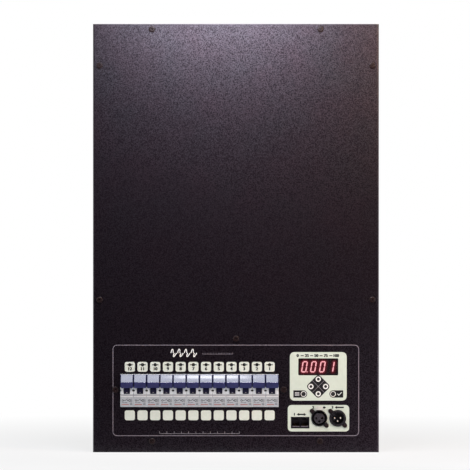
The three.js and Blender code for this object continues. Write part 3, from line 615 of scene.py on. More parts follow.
def tiles(middle, pitch, width, height, corner, thick, edge, upper, lower, size, bold, numberDrop,
          symbolRise, radius, lead, line):
    tile = rounded(proud("tile", softBox(0, 0, width, height, corner, 6), -inkSink, thick), edge)
    symbol = lampSymbol(radius, lead, line, thick)
    for channel in channels:
        x = channelX(channel, middle, pitch)
        for row, z in (("upper", upper), ("lower", lower)):
            give(copied(tile, f"{row}_tile_{channel}", x, 0, z), "tileCream", slot="label_cream")
        give(copied(symbol, f"tile_symbol_{channel}", x, 0, upper + symbolRise), "inkBlack")
        give(number(f"tile_number_{channel}", str(channel), x, upper - numberDrop, size, thick, bold),
             "inkBlack")
    discard(tile, symbol)


waveLook = dict(
    left=-90.2, right=-53.4, middle=135.4, swing=5.0, periods=4, line=1.25, lean=0.3, cut=0.3, steps=12,
)
ruleLook = dict(left=-45.5, right=-4.5, z=134.6, tick=2.0, line=0.5, count=20)
scaleLook = dict(left=-104.0, right=4.5, z=26.9, tick=3.0, line=0.75, count=12)


def waveMark(left, right, middle, swing, periods, line, lean, cut, steps):
    # sine waves, of each half wave the share before a dimmer switches it on is cut off
    half = (right - left) / (2 * periods)
    turns = [cut + (1 - cut) * i / steps for i in range(steps + 1)]
    shapes = []
    for index in range(2 * periods):
        start = left + half * index
        path = [(start + half * cut, middle)]
        for t in turns:
            rise = swing * math.sin(math.pi * t)
            path.append((start + half * t + lean * rise, middle + rise))
        sides = [(Vector(here), sideways(before, after, line))
                 for before, here, after in zip([path[0], *path], path, [*path[1:], path[-1]])]
        shapes.append([tuple(p - s) for p, s in sides] + [tuple(p + s) for p, s in reversed(sides)])
        swing = -swing
    inked("wave_mark", "inkWhite", shapes)


def tickRow(name, ink, left, right, z, tick, line, count):
    shapes = [bar(left + (right - left) * i / (count - 1), z, line, tick) for i in range(count)]
    shapes.append(bar((left + right) / 2, z - tick / 2, right - left + line, line * 0.7))
    inked(name, ink, shapes)


border(**borderLook)
tiles(**tileLook)
waveMark(**waveLook)
tickRow("mark_rule", "inkGrey", **ruleLook)
tickRow("channel_scale", "inkDim", **scaleLook)
print("prints and tiles on")


# --- circuit breakers and their toggles ---

rowX, rowZ, modulePitch = -49.7, 84.4, 18.0
breakerLook = dict(edge=0.35, crown=21.5, crownDrop=-0.4, groove=(0, -6.35, 20, 1.2, 1.35))
printLook = dict(
    line=0.72, ring=(-5.6, -13.6, 1.45), trip=(3.9, -13.6, 2.6, 3.4),
    strokes=[((-4.6, -13.6), (-2.4, -13.6)), ((-2.4, -13.7), (1.0, -11.3)), ((1.3, -13.6), (2.6, -13.6)),
             ((0.7, -13.0), (1.9, -14.2)), ((0.7, -14.2), (1.9, -13.0))],
    dashes=[(6.6, -11.9, 1.8, 0.7), (6.6, -13.6, 1.8, 0.7), (6.6, -15.3, 1.8, 0.7), (5.8, -17.4, 3.4, 0.7),
            (5.8, -19.2, 3.4, 0.7), (-5.5, -16.7, 3.0, 0.6), (-1.3, -16.7, 3.8, 0.6)],
)
frontPieces = dict(
    # outline round the middle of a module, back, front, rounding and its steps, finish
    # the print has only the height of its face, and its outlines in printLook
    breaker_plate=(bar(0, -15.05, 17.3, 14.5), 1.6, 3.2, 0.8, 3, "plateGrey"),
    tie_pin=(softBox(-9, -0.2, 3.7, 2.6, 1, 5), 1.9, 2.05, 0.1, 1, "blackMoulding"),
    breaker_print=(None, 3.2, None, "inkSlate"),
    breaker_stripe=(bar(-2.3, -19.2, 10, 0.9), 3.18, 3.25, "inkRed"),
    # painted highlight: a thin white line along the plate's top edge, as if the edge caught the light
    breaker_lip_highlight=(bar(0, -8.25, 16.7, 0.6), 3.18, 3.25, "inkWhite"),
    # painted shade: a dark grey strip in the bottom of the groove above the plate
    breaker_groove_shade=(bar(0, -6.35, 17.7, 1.1), 1.3, 1.4, "inkGrey"),
)


def moduleX(channel):
    return channelX(channel, rowX, modulePitch)


def intoModule(obj, name, channel, finish, **rest):
    give(copied(obj, f"{name}_{channel}", moduleX(channel), 0, rowZ), finish, **rest)


def breakerPrint(base):
    look = printLook
    parts = [printed("line", stroke(a, b, look["line"]), base) for a, b in look["strokes"]]
    parts += [printed("line", bar(*dash), base) for dash in look["dashes"]]
    parts += [printedRim("line", shape, look["line"], base)
              for shape in (circle(*look["ring"], 24), bar(*look["trip"]))]
    return joined("print", parts)


def breakers():
    look = breakerLook
    first = dressedCopy("breaker", "breaker_1", look["edge"])
    x, z, wide, high, back = look["groove"]
    carve(first, proud("groove", bar(moduleX(1) + x, rowZ + z, wide, high), back, above))
    crown = (rowZ + look["crown"]) * mm
    openMesh(first)
    chooseEdges(first, lambda a, b: min(a.z, b.z) > crown and max(a.y, b.y) < coverFace + 3 * mm)
    bpy.ops.transform.translate(value=(0, 0, look["crownDrop"] * mm))
    closeMesh()
    pieces = {}
    for name, (shape, back, front, *edge, finish) in frontPieces.items():
        obj = proud(name, shape, back, front) if shape else breakerPrint(back)
        pieces[name] = (rounded(obj, *edge) if edge else obj, finish)
    for channel in channels:
        body = copied(first, f"breaker_body_{channel}", moduleX(channel) - moduleX(1))
        give(body, "breakerGrey", slot="breaker_grey", stands=[f"breaker_{channel}"])
        for name, (obj, finish) in pieces.items():
            if name != "tie_pin" or channel < len(channels):
                slot = "breaker_grey" if name == "breaker_plate" else None
                intoModule(obj, name, channel, finish, slot=slot)
    discard(first, *(obj for obj, finish in pieces.values()))


toggleLook = dict(
    width=16.2, back=-3.0, foot=3.1, top=21.8, edge=0.45, bulge=0.25, heel=(1.6, 1.15),
    ridge=(-11.5, 10.55), ridgeRound=1.0,
    nose=[(0.45, -0.75), (0.1, -0.35), (0, 0.1), (0.05, 0.6), (0.25, 1.0)],
    skirt=dict(width=17.6, back=2.35, front=3.3, rise=1.6, drop=0.4, edge=0.2), pivot=6.0, drum=9.0,
    neck=8.0, drumEdge=0.25, web=(-2.6, 5.3, 8.2), mark=(1.8, 1.7, 0.4), markSink=0.05, markDrop=2.6,
)


def leverOutline():
    # Y and Z of the lever's side, with a soft ridge and a slightly full upper slope
    look = toggleLook
    deep, rise = look["heel"]
    heel = [(look["back"], look["foot"] + rise), (look["back"] - deep, look["foot"])]
    ridgeY, ridgeZ = look["ridge"]
    *nose, a = [(ridgeY + u, ridgeZ + look["ridgeRound"] * v) for u, v in look["nose"]]
    a, b = Vector(a), Vector((look["back"], look["top"]))
    outward = Vector((a.y - b.y, b.x - a.x)).normalized()
    steps = [i / 10 for i in range(11)]
    slope = [tuple(a.lerp(b, t) + outward * look["bulge"] * 4 * t * (1 - t)) for t in steps]
    return [*heel, *nose, *slope]


def lever():
    # its skirt and its front under the ridge, with every face not turned upward, take a matte deeper blue:
    # painted shade on the lever's underside
    half, skirt = toggleLook["width"] / 2, toggleLook["skirt"]
    obj = rounded(fromSide("lever", leverOutline(), -half, half), toggleLook["edge"], 3, 50)
    low, high = toggleLook["foot"] + skirt["rise"], toggleLook["top"] - skirt["drop"]
    shape = bar(0, (low + high) / 2, skirt["width"], high - low)
    cloth = rounded(proud("skirt", shape, skirt["back"], skirt["front"]), skirt["edge"])
    smooth(weld(obj, cloth), 40)
    for finish in ("toggleBlue", "toggleDeep"):
        obj.data.materials.append(finishes[finish])
    openMesh(obj)
    chooseFaces(obj, lambda middle, normal: normal.z < 0.3)
    obj.active_material_index = 1
    bpy.ops.object.material_slot_assign()
    closeMesh()
    return obj


def drumAndMark():
    look = toggleLook
    neck = look["neck"] / 2
    drum = fromSide("drum", circle(look["pivot"], 0, look["drum"], 56), -neck, neck)
    y, low, high = look["web"]
    weld(drum, fromSide("web", [(look["pivot"], 0), (y, low), (y, high)], -neck, neck))
    rounded(drum, look["drumEdge"], 2, 50)
    front = math.sqrt(look["drum"] ** 2 - look["markDrop"] ** 2) - look["pivot"]
    mark = solidShape("mark", softBox(0, 0, *look["mark"], 3), -look["markSink"], inkLift)
    turned(mark, -math.asin(look["markDrop"] / look["drum"]), "X")
    return drum, shifted(stood(mark), 0, -front, -look["markDrop"])


def toggles():
    first = lever()
    drum, mark = drumAndMark()
    for channel in channels:
        node = f"toggle_{channel}"
        intoModule(first, "toggle_lever", channel, None, body=node, slot="toggle_blue", stands=[node])
        # the drum carries painted shade, darker than the lever's blue
        intoModule(drum, "toggle_drum", channel, "drumShadedBlue", body=node)
        intoModule(mark, "toggle_mark", channel, "inkDim", body=node)
    discard(first, drum, mark)


breakers()
toggles()
print("breakers and toggles in")


# --- display, keys and their prints ---

displayLook = dict(
    x=112.3, window=116.5, label=0.5, digits="0001", lefts=[88.5, 100.75, 113.0, 125.25], digitWidth=7.3,
    digitHeight=15.4, segment=1.6, gap=0.12, lean=0.17, point=1.6, pointGap=1.2, digitBack=-1.75,
    digitThick=0.1, faceBack=-1.8, faceThick=0.15, faceSlack=0.1, faceCells=(150, 60), glow=1.8,
    glowFall=1.3,
)
# painted glow of the face round the lit segments: its dark colour, its red and how strongly it shines
glowLook = dict(dark=(0.032, 0.032, 0.035), red=(0.62, 0.012, 0.05), strength=0.72, grain=0.8)
segmentLook = dict(
    base=(0.3, 0.03, 0.03), reds=((1.0, 0.42, 0.46), (1.0, 0.54, 0.57)), strength=3.0, patch=2.5,
)
segmentsOf = {"0": "abcdef", "1": "bc"}


def segmentBars(w, h, t, gap):
    # the bars of a digit, from its lower left corner, as strokes with pointed ends
    left, right, low, middle, high = t / 2, w - t / 2, t / 2, h / 2, h - t / 2
    spots = {
        "a": (left, high, right, high), "b": (right, middle, right, high),
        "c": (right, low, right, middle), "d": (left, low, right, low),
        "e": (left, low, left, middle), "f": (left, middle, left, high),
    }
    bars = {}
    for key, spot in spots.items():
        a, b = Vector(spot[:2]), Vector(spot[2:])
        along, side = (b - a).normalized(), sideways(a, b, t)
        a, b, point = a + along * gap, b - along * gap, along * t / 2
        bars[key] = [a, a + point - side, b - point - side, b, b - point + side, a + point + side]
    return bars


def litShapes():
    # outlines of the lit segments and the point, in X and Z
    look = displayLook
    foot = look["window"] - look["digitHeight"] / 2
    bars = segmentBars(look["digitWidth"], look["digitHeight"], look["segment"], look["gap"])
    shapes = [[(left + p.x + look["lean"] * p.y, foot + p.y) for p in bars[key]]
              for left, digit in zip(look["lefts"], look["digits"]) for key in segmentsOf[digit]]
    dot = look["lefts"][0] + look["digitWidth"] + look["pointGap"]
    return [*shapes, circle(dot, foot + look["point"] / 2, look["point"] / 2, 16)]


def nearness(point, shapes):
    # shortest way from a point to any of the shapes
    best = math.inf
    for shape in shapes:
        for a, b in zip(shape, shape[1:] + shape[:1]):
            a, b = Vector(a), Vector(b)
            along = b - a
            t = max(0, min(1, (point - a).dot(along) / max(along.length_squared, 1e-9)))
            best = min(best, (point - a - along * t).length)
    return best


def glowFinishes():
    # dark face with a painted red glow of light spilled from the segments, strongest where the attribute says
    # a segment is near
    look = glowLook
    tree, shader = newFinish("paintedGlowFace", {"Base Color": (*look["dark"], 1), "Roughness": 0.5})
    near = addNode(tree, "Attribute", {}, attribute_name="glow").outputs["Fac"]
    power = calculated(tree, "MULTIPLY", near, spread(tree, noise(tree, look["grain"]), 0.85, 1.15))
    feed(tree, shader, {"Emission Color": mix(tree, power, (0, 0, 0), look["red"]),
                        "Emission Strength": look["strength"]})
    look = segmentLook
    tree, shader = newFinish("litSegment", {"Base Color": (*look["base"], 1), "Roughness": 0.4})
    warm = spread(tree, noise(tree, look["patch"]), 0, 1)
    feed(tree, shader, {"Emission Color": mix(tree, warm, *look["reds"]),
                        "Emission Strength": look["strength"]})


def display():
    look = displayLook
    shapes = litShapes()
    parts = [proud("digit", shape, look["digitBack"], look["digitBack"] + look["digitThick"])
             for shape in shapes]
    give(joined("display_digits", parts), "litSegment")
    (left, right), depth, (bottom, top) = span("display_lens")
    width, height = (side - look["faceSlack"] for side in (right - left, top - bottom))
    across, up = look["faceCells"]
    face = added("display_face", bpy.ops.mesh.primitive_grid_add, x_subdivisions=across,
                 y_subdivisions=up, size=1)
    face.data.transform(Matrix.Diagonal((width * mm, height * mm, 1, 1)))
    shifted(face, look["x"], look["window"], look["faceBack"])
    # painted glow: highest at a lit segment and falling off with the way to the nearest one
    ways = [nearness(Vector((v.co.x, v.co.y)) / mm, shapes) for v in face.data.vertices]
    values = [math.exp(-(way / look["glow"]) ** look["glowFall"]) for way in ways]
    face.data.attributes.new("glow", "FLOAT", "POINT").data.foreach_set("value", values)
    openMesh(face)
    give(stood(raiseFlat(face, 0, -look["faceThick"])), "paintedGlowFace")


rimLook = dict(width=54.5, height=23.2, corner=1.6, line=0.7, lift=0.03)
keyLook = dict(
    keys=dict(
        up=(112.3, 99.7), down=(112.3, 79.7), left=(102.3, 89.7), right=(122.3, 89.7), menu=(92.2, 79.5),
        enter=(132.4, 79.5),
    ),
    edge=0.45, ring=(3.6, 1.6), thinRing=(3.8, 0.75), tag=(13.9, 4.95),
)
diamondLook = dict(
    x=112.3, z=89.7, reach=15.9, corner=4.2, cornerShare=0.62, line=0.5, short=0.3, hub=0.9, lift=0.04,
)
symbolLook = dict(
    bars=dict(x=83.4, z=79.5, pitch=1.7, width=6.0, line=0.75),
    tick=[(138.6, 79.8), (140.3, 77.6), (144.2, 81.9)], tickLine=0.95,
)
titleLook = dict(
    words=["0", "25", "50", "75", "100"], spots=[84.2, 96.8, 109.6, 122.6, 136.4], z=131.7, size=5.4,
    bold=0.3, dash=4.2, line=1.2,
)


def windowRim(width, height, corner, line, lift):
    base = displayLook["label"]
    shape = softBox(displayLook["x"], displayLook["window"], width, height, corner)
    give(proudRim("window_rim", shape, line, base - inkSink, base + lift), "inkBlack")


def diamond(x, z, reach, corner, cornerShare, line, short, hub, lift):
    # dark field round the four arrow keys, with a dim cross between them
    base, slant = displayLook["label"], math.sqrt(0.5)
    side = reach * math.sqrt(2) + corner * (2 - math.sqrt(2)) * cornerShare
    points = [(x + (u - v) * slant, z + (u + v) * slant) for u, v in softBox(0, 0, side, side, corner)]
    give(printed("key_diamond", points, base), "inkBlack")
    leg = (side / 2 - short) * slant
    shapes = [stroke((x - leg, z - s * leg), (x + leg, z + s * leg), line) for s in (-1, 1)]
    low = base + inkLift
    parts = [proud("cross", shape, low - inkSink, low + lift) for shape in [*shapes, circle(x, z, hub, 16)]]
    give(joined("diamond_cross", parts), "inkDim")


def keyRings():
    base = displayLook["label"]
    reach, half = keyLook["tag"]
    for name, (x, z) in keyLook["keys"].items():
        outer, line = keyLook["ring"]
        if name in ("menu", "enter"):
            outer, line = keyLook["thinRing"]
            sign = 1 if name == "menu" else -1
            left = x - sign * reach
            shape = [(x + sign * u, z + v) for u, v in arc(0, 0, half, -90, 90, 16)]
            shape += [(left, z + half), (left, z - half)]
            give(printed(f"key_tag_{name}", shape, base), "inkBlack")
        give(printedRim(f"key_ring_{name}", circle(x, z, outer), line, base + inkLift), "inkWhite")


def keySymbols():
    base = displayLook["label"] + inkLift
    look = symbolLook["bars"]
    lines = [bar(look["x"], look["z"] + s * look["pitch"], look["width"], look["line"]) for s in (-1, 0, 1)]
    inked("menu_symbol", "inkWhite", lines, base)
    tick = symbolLook["tick"]
    strokes = [stroke(a, b, symbolLook["tickLine"]) for a, b in zip(tick, tick[1:])]
    inked("enter_symbol", "inkWhite", strokes, base)


def keys():
    for name, (x, z) in keyLook["keys"].items():
        node = f"button_{name}"
        (left, right), (back, front), height = span(node)
        obj = proud(f"key_{name}", circle(x, z, (right - left) / 2, 32), back, front)
        face = coverFace - (front - 0.01) * mm
        smooth(roundedWhere(obj, lambda a, b: max(a.y, b.y) < face, keyLook["edge"], 4))
        give(obj, "keyBlack", node, "key_black", [node])


def title(words, spots, z, size, bold, dash, line):
    # level scale over the display
    base = displayLook["label"]
    parts = [number("title", word, x, z, size, base, bold) for word, x in zip(words, spots)]
    parts += [proud("dash", bar((a + b) / 2, z, dash, line), base - inkSink / 2, base + inkLift)
              for a, b in zip(spots, spots[1:])]
    give(joined("title_scale", parts), "inkBlack")


glowFinishes()
display()
windowRim(**rimLook)
diamond(**diamondLook)
keyRings()
keySymbols()
keys()
title(**titleLook)
print("display and keys in")


# --- sockets, jack and their prints ---

socketLook = dict(
    z=46.4, input=138.8, output=113.6, base=0.5, front=2.7, edge=0.7, soft=0.25, ear=9.9, earRadius=3.1,
    earHole=1.3, barrel=10.2, barrelBack=-19.0, tail=6.0, tailBack=-21.8,
    pins=[(-4.07, 0), (4.07, 0), (0, -4.07)],
)
inputLook = dict(
    radius=11.4, cavity=8.2, deep=14.0, key=(2.6, 1.8), keySink=0.4, keyBack=1.2, floorLift=0.4, pin=1.1,
    pinFront=-1.8, pinRound=0.85, bezel=9.9, bezelWall=0.55, bezelSink=0.2, bezelRise=0.3, bezelEdge=0.15,
)
outputLook = dict(
    radius=11.1, groove=9.7, grooveWall=2.2, grooveDeep=12.0, hole=1.5, holeDeep=9.0, keyway=2.4,
    insert=7.5, insertSlack=0.35, insertRise=0.15, insertBack=-0.6, insertHole=1.65, insertKeyway=3.0,
    insertEdge=0.2, contact=1.48, contactWall=0.3, contactBack=-9.2, contactFront=-3.5,
)


def earOutline(radius, reach, ear, count=240):
    # disc with an ear at each end of a diagonal
    points = []
    for i in range(count):
        turn = 2 * math.pi * i / count
        best = radius
        for way in (-math.pi / 4, 3 * math.pi / 4):
            off = math.atan2(math.sin(turn - way), math.cos(turn - way))
            if abs(off) < math.asin(ear / reach):
                best = max(best, reach * math.cos(off) + math.sqrt(ear ** 2 - (reach * math.sin(off)) ** 2))
            if 0 < abs(off) < math.pi / 2:
                side = ear / math.sin(abs(off))
                if side * math.cos(off) <= reach:
                    best = max(best, side)
        points.append((best * math.cos(turn), best * math.sin(turn)))
    return points


def softRim(obj, radius, steps=4):
    # the top face is drawn in and up along a quarter round
    openMesh(obj)
    top = max(vert.co.z for vert in obj.data.vertices)
    chooseFaces(obj, lambda middle, normal: normal.z > 0.9 and middle.z > top - 0.0001)
    turns = [math.pi / 2 * i / steps for i in range(steps + 1)]
    for a, b in zip(turns, turns[1:]):
        bpy.ops.mesh.inset(thickness=(math.cos(a) - math.cos(b)) * radius * mm,
                           depth=(math.sin(b) - math.sin(a)) * radius * mm)
    closeMesh()
    return smooth(obj, 40)


def drilled(obj, spots, radius, low, count=28):
    for x, z in spots:
        hole = shifted(disc("hole", radius, low, above, count), x, z)
        carve(obj, hole)
    return obj


def seated(obj, socket, finish, **rest):
    # stands a piece up in the middle of a socket
    give(shifted(stood(obj), socketLook[socket], 0, socketLook["z"]), finish, **rest)


def atPins(obj, name, socket, finish, slot=None):
    for index, (u, v) in enumerate(socketLook["pins"]):
        spot = (socketLook[socket] + u, 0, socketLook["z"] + v)
        give(copied(obj, f"{name}_{index + 1}", *spot), finish, slot=slot)
    discard(obj)


def socketBody(name, radius):
    # flange with two ears, barrel and tail
    look = socketLook
    ear, back = look["ear"], look["barrelBack"]
    outline = earOutline(radius, ear * math.sqrt(2), look["earRadius"])
    obj = softRim(solidShape(name, outline, look["base"], look["front"] - look["edge"]), look["edge"])
    weld(obj, disc("barrel", look["barrel"], back, look["base"] + 0.7, 72),
         disc("tail", look["tail"], look["tailBack"], back + 1, 32))
    return drilled(obj, [(-ear, ear), (ear, -ear)], look["earHole"], -30, 24)


def inputSocket(radius, cavity, deep, key, keySink, keyBack, floorLift, pin, pinFront, pinRound,
                bezel, bezelWall, bezelSink, bezelRise, bezelEdge):
    front = socketLook["front"]
    obj = socketBody("input_socket_body", radius)
    carve(obj, disc("cavity", cavity, -deep, above))
    weld(obj, solidShape("key", bar(0, cavity - keySink, *key), -deep - 0.5, front - keyBack))
    rounded(obj, socketLook["soft"], 2, 60)
    seated(obj, "input", "socketBlack", slot="socket_black", stands=["input_socket"])
    seated(disc("input_floor", cavity - 0.05, -deep - 0.3, floorLift - deep), "input", "insertGrey")
    obj = hollowShape("input_bezel", circle(0, 0, bezel, 72), bezelWall, front - bezelSink, front + bezelRise)
    seated(rounded(obj, bezelEdge, 2, 50), "input", "insertGrey")
    obj = disc("pin", pin, -deep - 0.5, pinFront, 28)
    roundedWhere(obj, lambda a, b: min(a.z, b.z) > pinFront * mm - 1e-6, pinRound, 5)
    atPins(smooth(stood(obj)), "input_pin", "input", "pinSilver", "latch_steel")


def outputSocket(radius, groove, grooveWall, grooveDeep, hole, holeDeep, keyway, insert, insertSlack,
                 insertRise, insertBack, insertHole, insertKeyway, insertEdge, contact, contactWall,
                 contactBack, contactFront):
    pins = socketLook["pins"]
    obj = socketBody("output_socket_body", radius)
    carve(obj, hollowShape("groove", circle(0, 0, groove, 64), grooveWall, -grooveDeep, above),
          solidShape("keyway", bar(0, insert, keyway, keyway), -grooveDeep, above))
    rounded(drilled(obj, pins, hole, -holeDeep), socketLook["soft"], 2, 60)
    seated(obj, "output", "socketBlack", slot="socket_black", stands=["output_socket"])
    obj = disc("output_insert", insert - insertSlack, insertBack, socketLook["front"] + insertRise)
    carve(drilled(obj, pins, insertHole, -5),
          solidShape("keyway", bar(0, insert, insertKeyway, insertKeyway), -5, above))
    seated(rounded(obj, insertEdge, 2, 60), "output", "insertGrey")
    obj = proudRim("contact", circle(0, 0, contact, 28), contactWall, contactBack, contactFront)
    atPins(obj, "output_contact", "output", "contactGold")


latchLook = dict(
    rise=1.3, thick=2.2, edge=0.2, grooves=(1.7, 2.9), grooveShare=0.65, grooveLine=0.45,
    grooveDeep=0.4, stem=(6.0, 1.6), stemRise=0.8, stemShort=1.6,
)


def latch(rise, thick, edge, grooves, grooveShare, grooveLine, grooveDeep, stem, stemRise, stemShort):
    # push tab with a curved top and two grip grooves, on a flat stem
    x = socketLook["output"]
    (left, right), (back, front), (foot, top) = span("output_socket_latch")
    wide = right - left
    points = [(x - wide / 2, foot), (x + wide / 2, foot)]
    points += [(x + wide / 2 * u, top - rise + rise * v) for u, v in arc(0, 0, 1, 0, 180, 16)]
    tab = proud("latch_tab", points, front - thick, front)
    for z in grooves:
        shape = bar(x, foot + z, wide * grooveShare, grooveLine)
        carve(tab, proud("groove", shape, front - grooveDeep, front + 1))
    weld(tab, proud("stem", bar(x, foot + stemRise, *stem), back, front - stemShort))
    rounded(tab, edge, 2, 50)
    give(tab, "latchSilver", "socket_latch", "latch_steel", ["output_socket_latch"])


jackLook = dict(
    x=87.6, z=40.4, corner=0.5, edge=0.2, port=(10.6, 8.6), portRise=-0.3, wall=1.1, notch=(6.4, 1.8),
    deep=-13.0, contacts=8, contactPitch=1.02, contactHalf=0.24,
    # Y and the height over the port's foot
    contactSide=[(2.2, -0.3), (13.2, -0.3), (13.2, 0.2), (6.0, 0.2), (10.0, 4.6), (9.7, 4.9), (4.6, 0.2),
                 (2.2, 0.2)],
    slopeSide=[(3.0, 8.2), (11.0, 0.6), (12.9, 0.6), (12.9, 8.2)], slopeSlack=0.1, lip=(9.6, 0.7),
    lipDrop=5.25, lipLift=0.02,
)


def twinJack(x, z, corner, edge, port, portRise, wall, notch, deep, contacts, contactPitch, contactHalf,
             contactSide, slopeSide, slopeSlack, lip, lipDrop, lipLift):
    (left, right), (back, front), (bottom, top) = span("twin_jack")
    body = proud("jack_body", softBox(x, z, right - left, top - bottom, corner, 2), back, front)
    wide, tall = port
    rise, half = z + portRise, wide / 2 - slopeSlack
    wire, slope = ([(y, rise - tall / 2 + v) for y, v in side] for side in (contactSide, slopeSide))
    wires, slopes, lips = [], [], []
    for sign in (-1, 1):
        middle = x + sign * (wall + wide) / 2
        for shape in (bar(middle, rise, *port), bar(middle, rise + (tall + notch[1]) / 2 - 0.1, *notch)):
            carve(body, proud("port", shape, deep, front + 1))
        for index in range(contacts):
            u = middle + (index - (contacts - 1) / 2) * contactPitch
            wires.append(fromSide("wire", wire, u - contactHalf, u + contactHalf))
        slopes.append(fromSide("slope", slope, middle - half, middle + half))
        lips.append(proud("lip", bar(middle, z - lipDrop, *lip), front - inkLift, front + lipLift))
    rounded(body, edge, 2, 50)
    give(body, "socketBlack", slot="socket_black", stands=["twin_jack"])
    give(joined("jack_contacts", wires), "contactGold")
    give(joined("jack_slopes", slopes), "insertGrey")
    give(joined("jack_lips", lips), "inkGrey")


earScrewLook = dict(head=4.6, rise=1.3, edge=0.7, cross=2.6, blade=0.7, deep=0.9, shank=2.2, length=3.5)
earTurn = 1.1  # each screw is turned this much farther than the one before


def earScrews():
    look = socketLook
    first = crossHead(**earScrewLook)
    spots = [(look[socket], sign * look["ear"]) for socket in ("output", "input") for sign in (-1, 1)]
    for count, (x, ear) in enumerate(spots, 1):
        obj = turned(copied(first, f"socket_screw_{count}"), count * earTurn)
        shifted(stood(obj), x + ear, -look["front"], look["z"] - ear)
        give(obj, "screwBlack", slot="socket_black")
    discard(first)


markLook = dict(
    # number, X and Z, X of the number, start and end of the arrow, its heads
    jack=("1", 87.4, 51.6, -7.6, -4.6, 8.6, (-1, 1)),
    output=("2", 113.4, 61.0, -8.0, 4.2, 9.6, (1,)),
    input=("3", 139.0, 61.2, -7.4, -4.4, 8.0, (-1,)),
)
arrowLook = dict(size=4.7, bold=0.32, line=1.8, head=(3.4, 2.1))


def connectorMark(name, text, x, z, textX, start, end, ways):
    # a number and an arrow in or out
    look, base = arrowLook, socketLook["base"]
    long, half = look["head"]
    shapes = [bar(x + (start + end) / 2, z, end - start - 2 * (long - 1), look["line"])]
    for sign, tip in ((-1, x + start), (1, x + end)):
        if sign in ways:
            shapes.append([(tip, z), (tip - sign * long, z + half), (tip - sign * long, z - half)])
        else:
            shapes.append(bar(tip - sign * long / 2, z, long, look["line"]))
    parts = [number("mark", text, x + textX, z, look["size"], base, look["bold"])]
    parts += [printed("mark", shape, base) for shape in shapes]
    give(joined(f"connector_mark_{name}", parts), "inkBlack")


inputSocket(**inputLook)
outputSocket(**outputLook)
latch(**latchLook)
twinJack(**jackLook)
earScrews()
for name, look in markLook.items():
    connectorMark(name, *look)
print("connectors in")


# --- rubber grommets at the cable entry ---

def grommets(edge=0.5):
    for name in ("mains_grommet", "load_grommet"):
        give(dressedCopy(f"{name}_ring", name, edge, 3, 50), "rubber", slot="rubber_black", stands=[name])


grommets()
print("cable entry done")


# --- floor, light and camera, in metres ---

floorLook = dict(size=12.0, tone=(0.88, 0.88, 0.88, 1), near=0.78, fade=(0.3, 1.0))
cardLook = dict(
    black=(0.005, 0.005, 0.005, 1), grey=(0.36, 0.31, 0.36, 1), width=10.0, height=4.4, y=-2.6, near=0.4,
    start=0.1, lift=0.001,
)
cameraLook = dict(distance=5.0, lens=280.8, x=-0.00127, z=0.2963)
skyFill = 0.15
lampLook = dict(
    # place, aim, size, power, colour, spread in degrees
    ceiling=((-0.02, -0.36, 0.95), (-0.02, -0.35, 0.0), (0.9, 0.48), 4.1, (0.85, 0.91, 1.0), 180),
    ceilingSpot=((-0.04, -0.25, 0.94), (-0.04, -0.25, 0.0), (0.11, 0.1), 0.2, (1.0, 0.98, 1.0), 180),
    panelTop=((-0.02, -0.62, 0.708), (-0.02, -0.07, 0.55), (0.25, 0.08), 1.57, (0.95, 0.9, 1.0), 100),
    panelCorner=((0.4, -0.62, 0.68), (0.2, -0.07, 0.44), (0.1, 0.25), 1.15, (1.0, 0.66, 0.42), 100),
    panelFoot=((0.4, -0.5, 0.07), (0.15, -0.07, 0.03), (0.1, 0.1), 0.1, (1.0, 0.9, 0.98), 80),
    leftSoft=((-1.7, -0.95, 0.22), (0, 0, 0.2), (0.9, 1.2), 13.7, (1, 1, 1), 180),
    rightSoft=((1.7, -0.95, 0.22), (0, 0, 0.2), (0.9, 1.2), 13.7, (1, 0.98, 0.95), 180),
)


def seenAsWhite(tree):
    # 1 for the rays that show the background: straight from the camera, mirrored or seen through
    rays = addNode(tree, "LightPath", {}).outputs
    seen = calculated(tree, "MAXIMUM", rays["Is Camera Ray"], rays["Is Glossy Ray"])
    return calculated(tree, "MAXIMUM", seen, rays["Is Transmission Ray"])


def floorFinish():
    # near the object the floor is lit and shaded, farther out it turns into the white background
    look = floorLook
    tree, shader = newFinish("paleFloor", {"Base Color": look["tone"], "Roughness": 0.9, shine: 0.1})
    reach = addNode(tree, "VectorMath", {0: objectSpot(tree)}, operation="LENGTH").outputs["Value"]
    far = spread(tree, reach, look["near"], 1, *look["fade"])
    white = calculated(tree, "MULTIPLY", far, seenAsWhite(tree))
    glow = addNode(tree, "Emission", {"Color": (1, 1, 1, 1), "Strength": 1.0})
    both = addNode(tree, "MixShader", {0: white, 1: shader.outputs[0], 2: glow.outputs[0]})
    feed(tree, tree.nodes["Material Output"], {"Surface": both.outputs[0]})


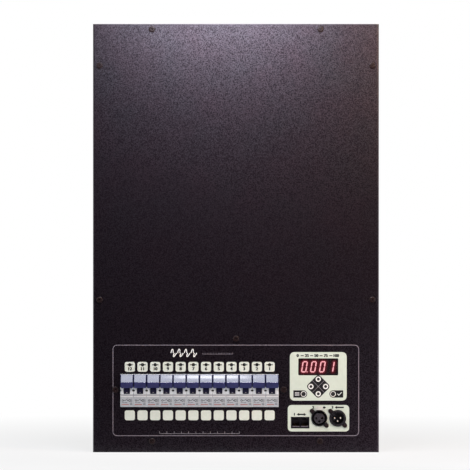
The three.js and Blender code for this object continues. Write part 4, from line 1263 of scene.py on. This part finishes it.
def floor():
    floorFinish()
    radius = floorLook["size"] / 2
    obj = added("floor", bpy.ops.mesh.primitive_circle_add, vertices=96, radius=radius, fill_type="NGON")
    obj.data.materials.append(finishes["paleFloor"])


def mirrorCards(black, grey, width, height, y, near, start, lift):
    # seen by reflections alone
    newFinish("cardBlack", {"Base Color": black, "Roughness": 1.0})
    newFinish("cardGrey", {"Base Color": grey, "Roughness": 1.0})
    deep = -y - start
    cards = dict(
        cardFront=("cardBlack", height, (0, y, height / 2), math.pi / 2),
        cardFoot=("cardBlack", deep, (0, -start - deep / 2, lift), 0),
        cardNear=("cardGrey", near, (0, -start - near / 2, 2 * lift), 0),
    )
    for name, (finish, size, at, tilt) in cards.items():
        card = added(name, bpy.ops.mesh.primitive_plane_add, size=1, location=at, rotation=(tilt, 0, 0))
        card.scale = (width, size, 1)
        card.data.materials.append(finishes[finish])
        card.visible_camera = card.visible_diffuse = card.visible_shadow = card.visible_transmission = False


def world():
    sky = bpy.data.worlds.new("studio")
    sky.use_nodes = True
    bpy.context.scene.world = sky
    tree = sky.node_tree
    strength = spread(tree, seenAsWhite(tree), skyFill, 1, 0, 1)
    feed(tree, tree.nodes["Background"], {"Color": (1, 1, 1, 1), "Strength": strength})


def lamps():
    for name, (at, aim, size, power, colour, angle) in lampLook.items():
        lamp = added(name, bpy.ops.object.light_add, type="AREA", location=at)
        lamp.visible_camera = False
        light = lamp.data
        light.shape, light.energy, light.color = "RECTANGLE", power, colour
        light.size, light.size_y = size
        light.spread = math.radians(angle)
        way = Vector(aim) - Vector(at)
        lamp.rotation_euler = way.to_track_quat("-Z", "Y").to_euler()


def camera(distance, lens, x, z):
    bpy.ops.object.camera_add(location=(x, coverFace - distance, z), rotation=(math.pi / 2, 0, 0))
    eye = bpy.context.object
    eye.data.lens = lens
    eye.data.clip_end = 100
    bpy.context.scene.camera = eye


floor()
mirrorCards(**cardLook)
world()
lamps()
camera(**cameraLook)
bpy.context.scene.view_settings.view_transform = "Standard"
print("stage set")
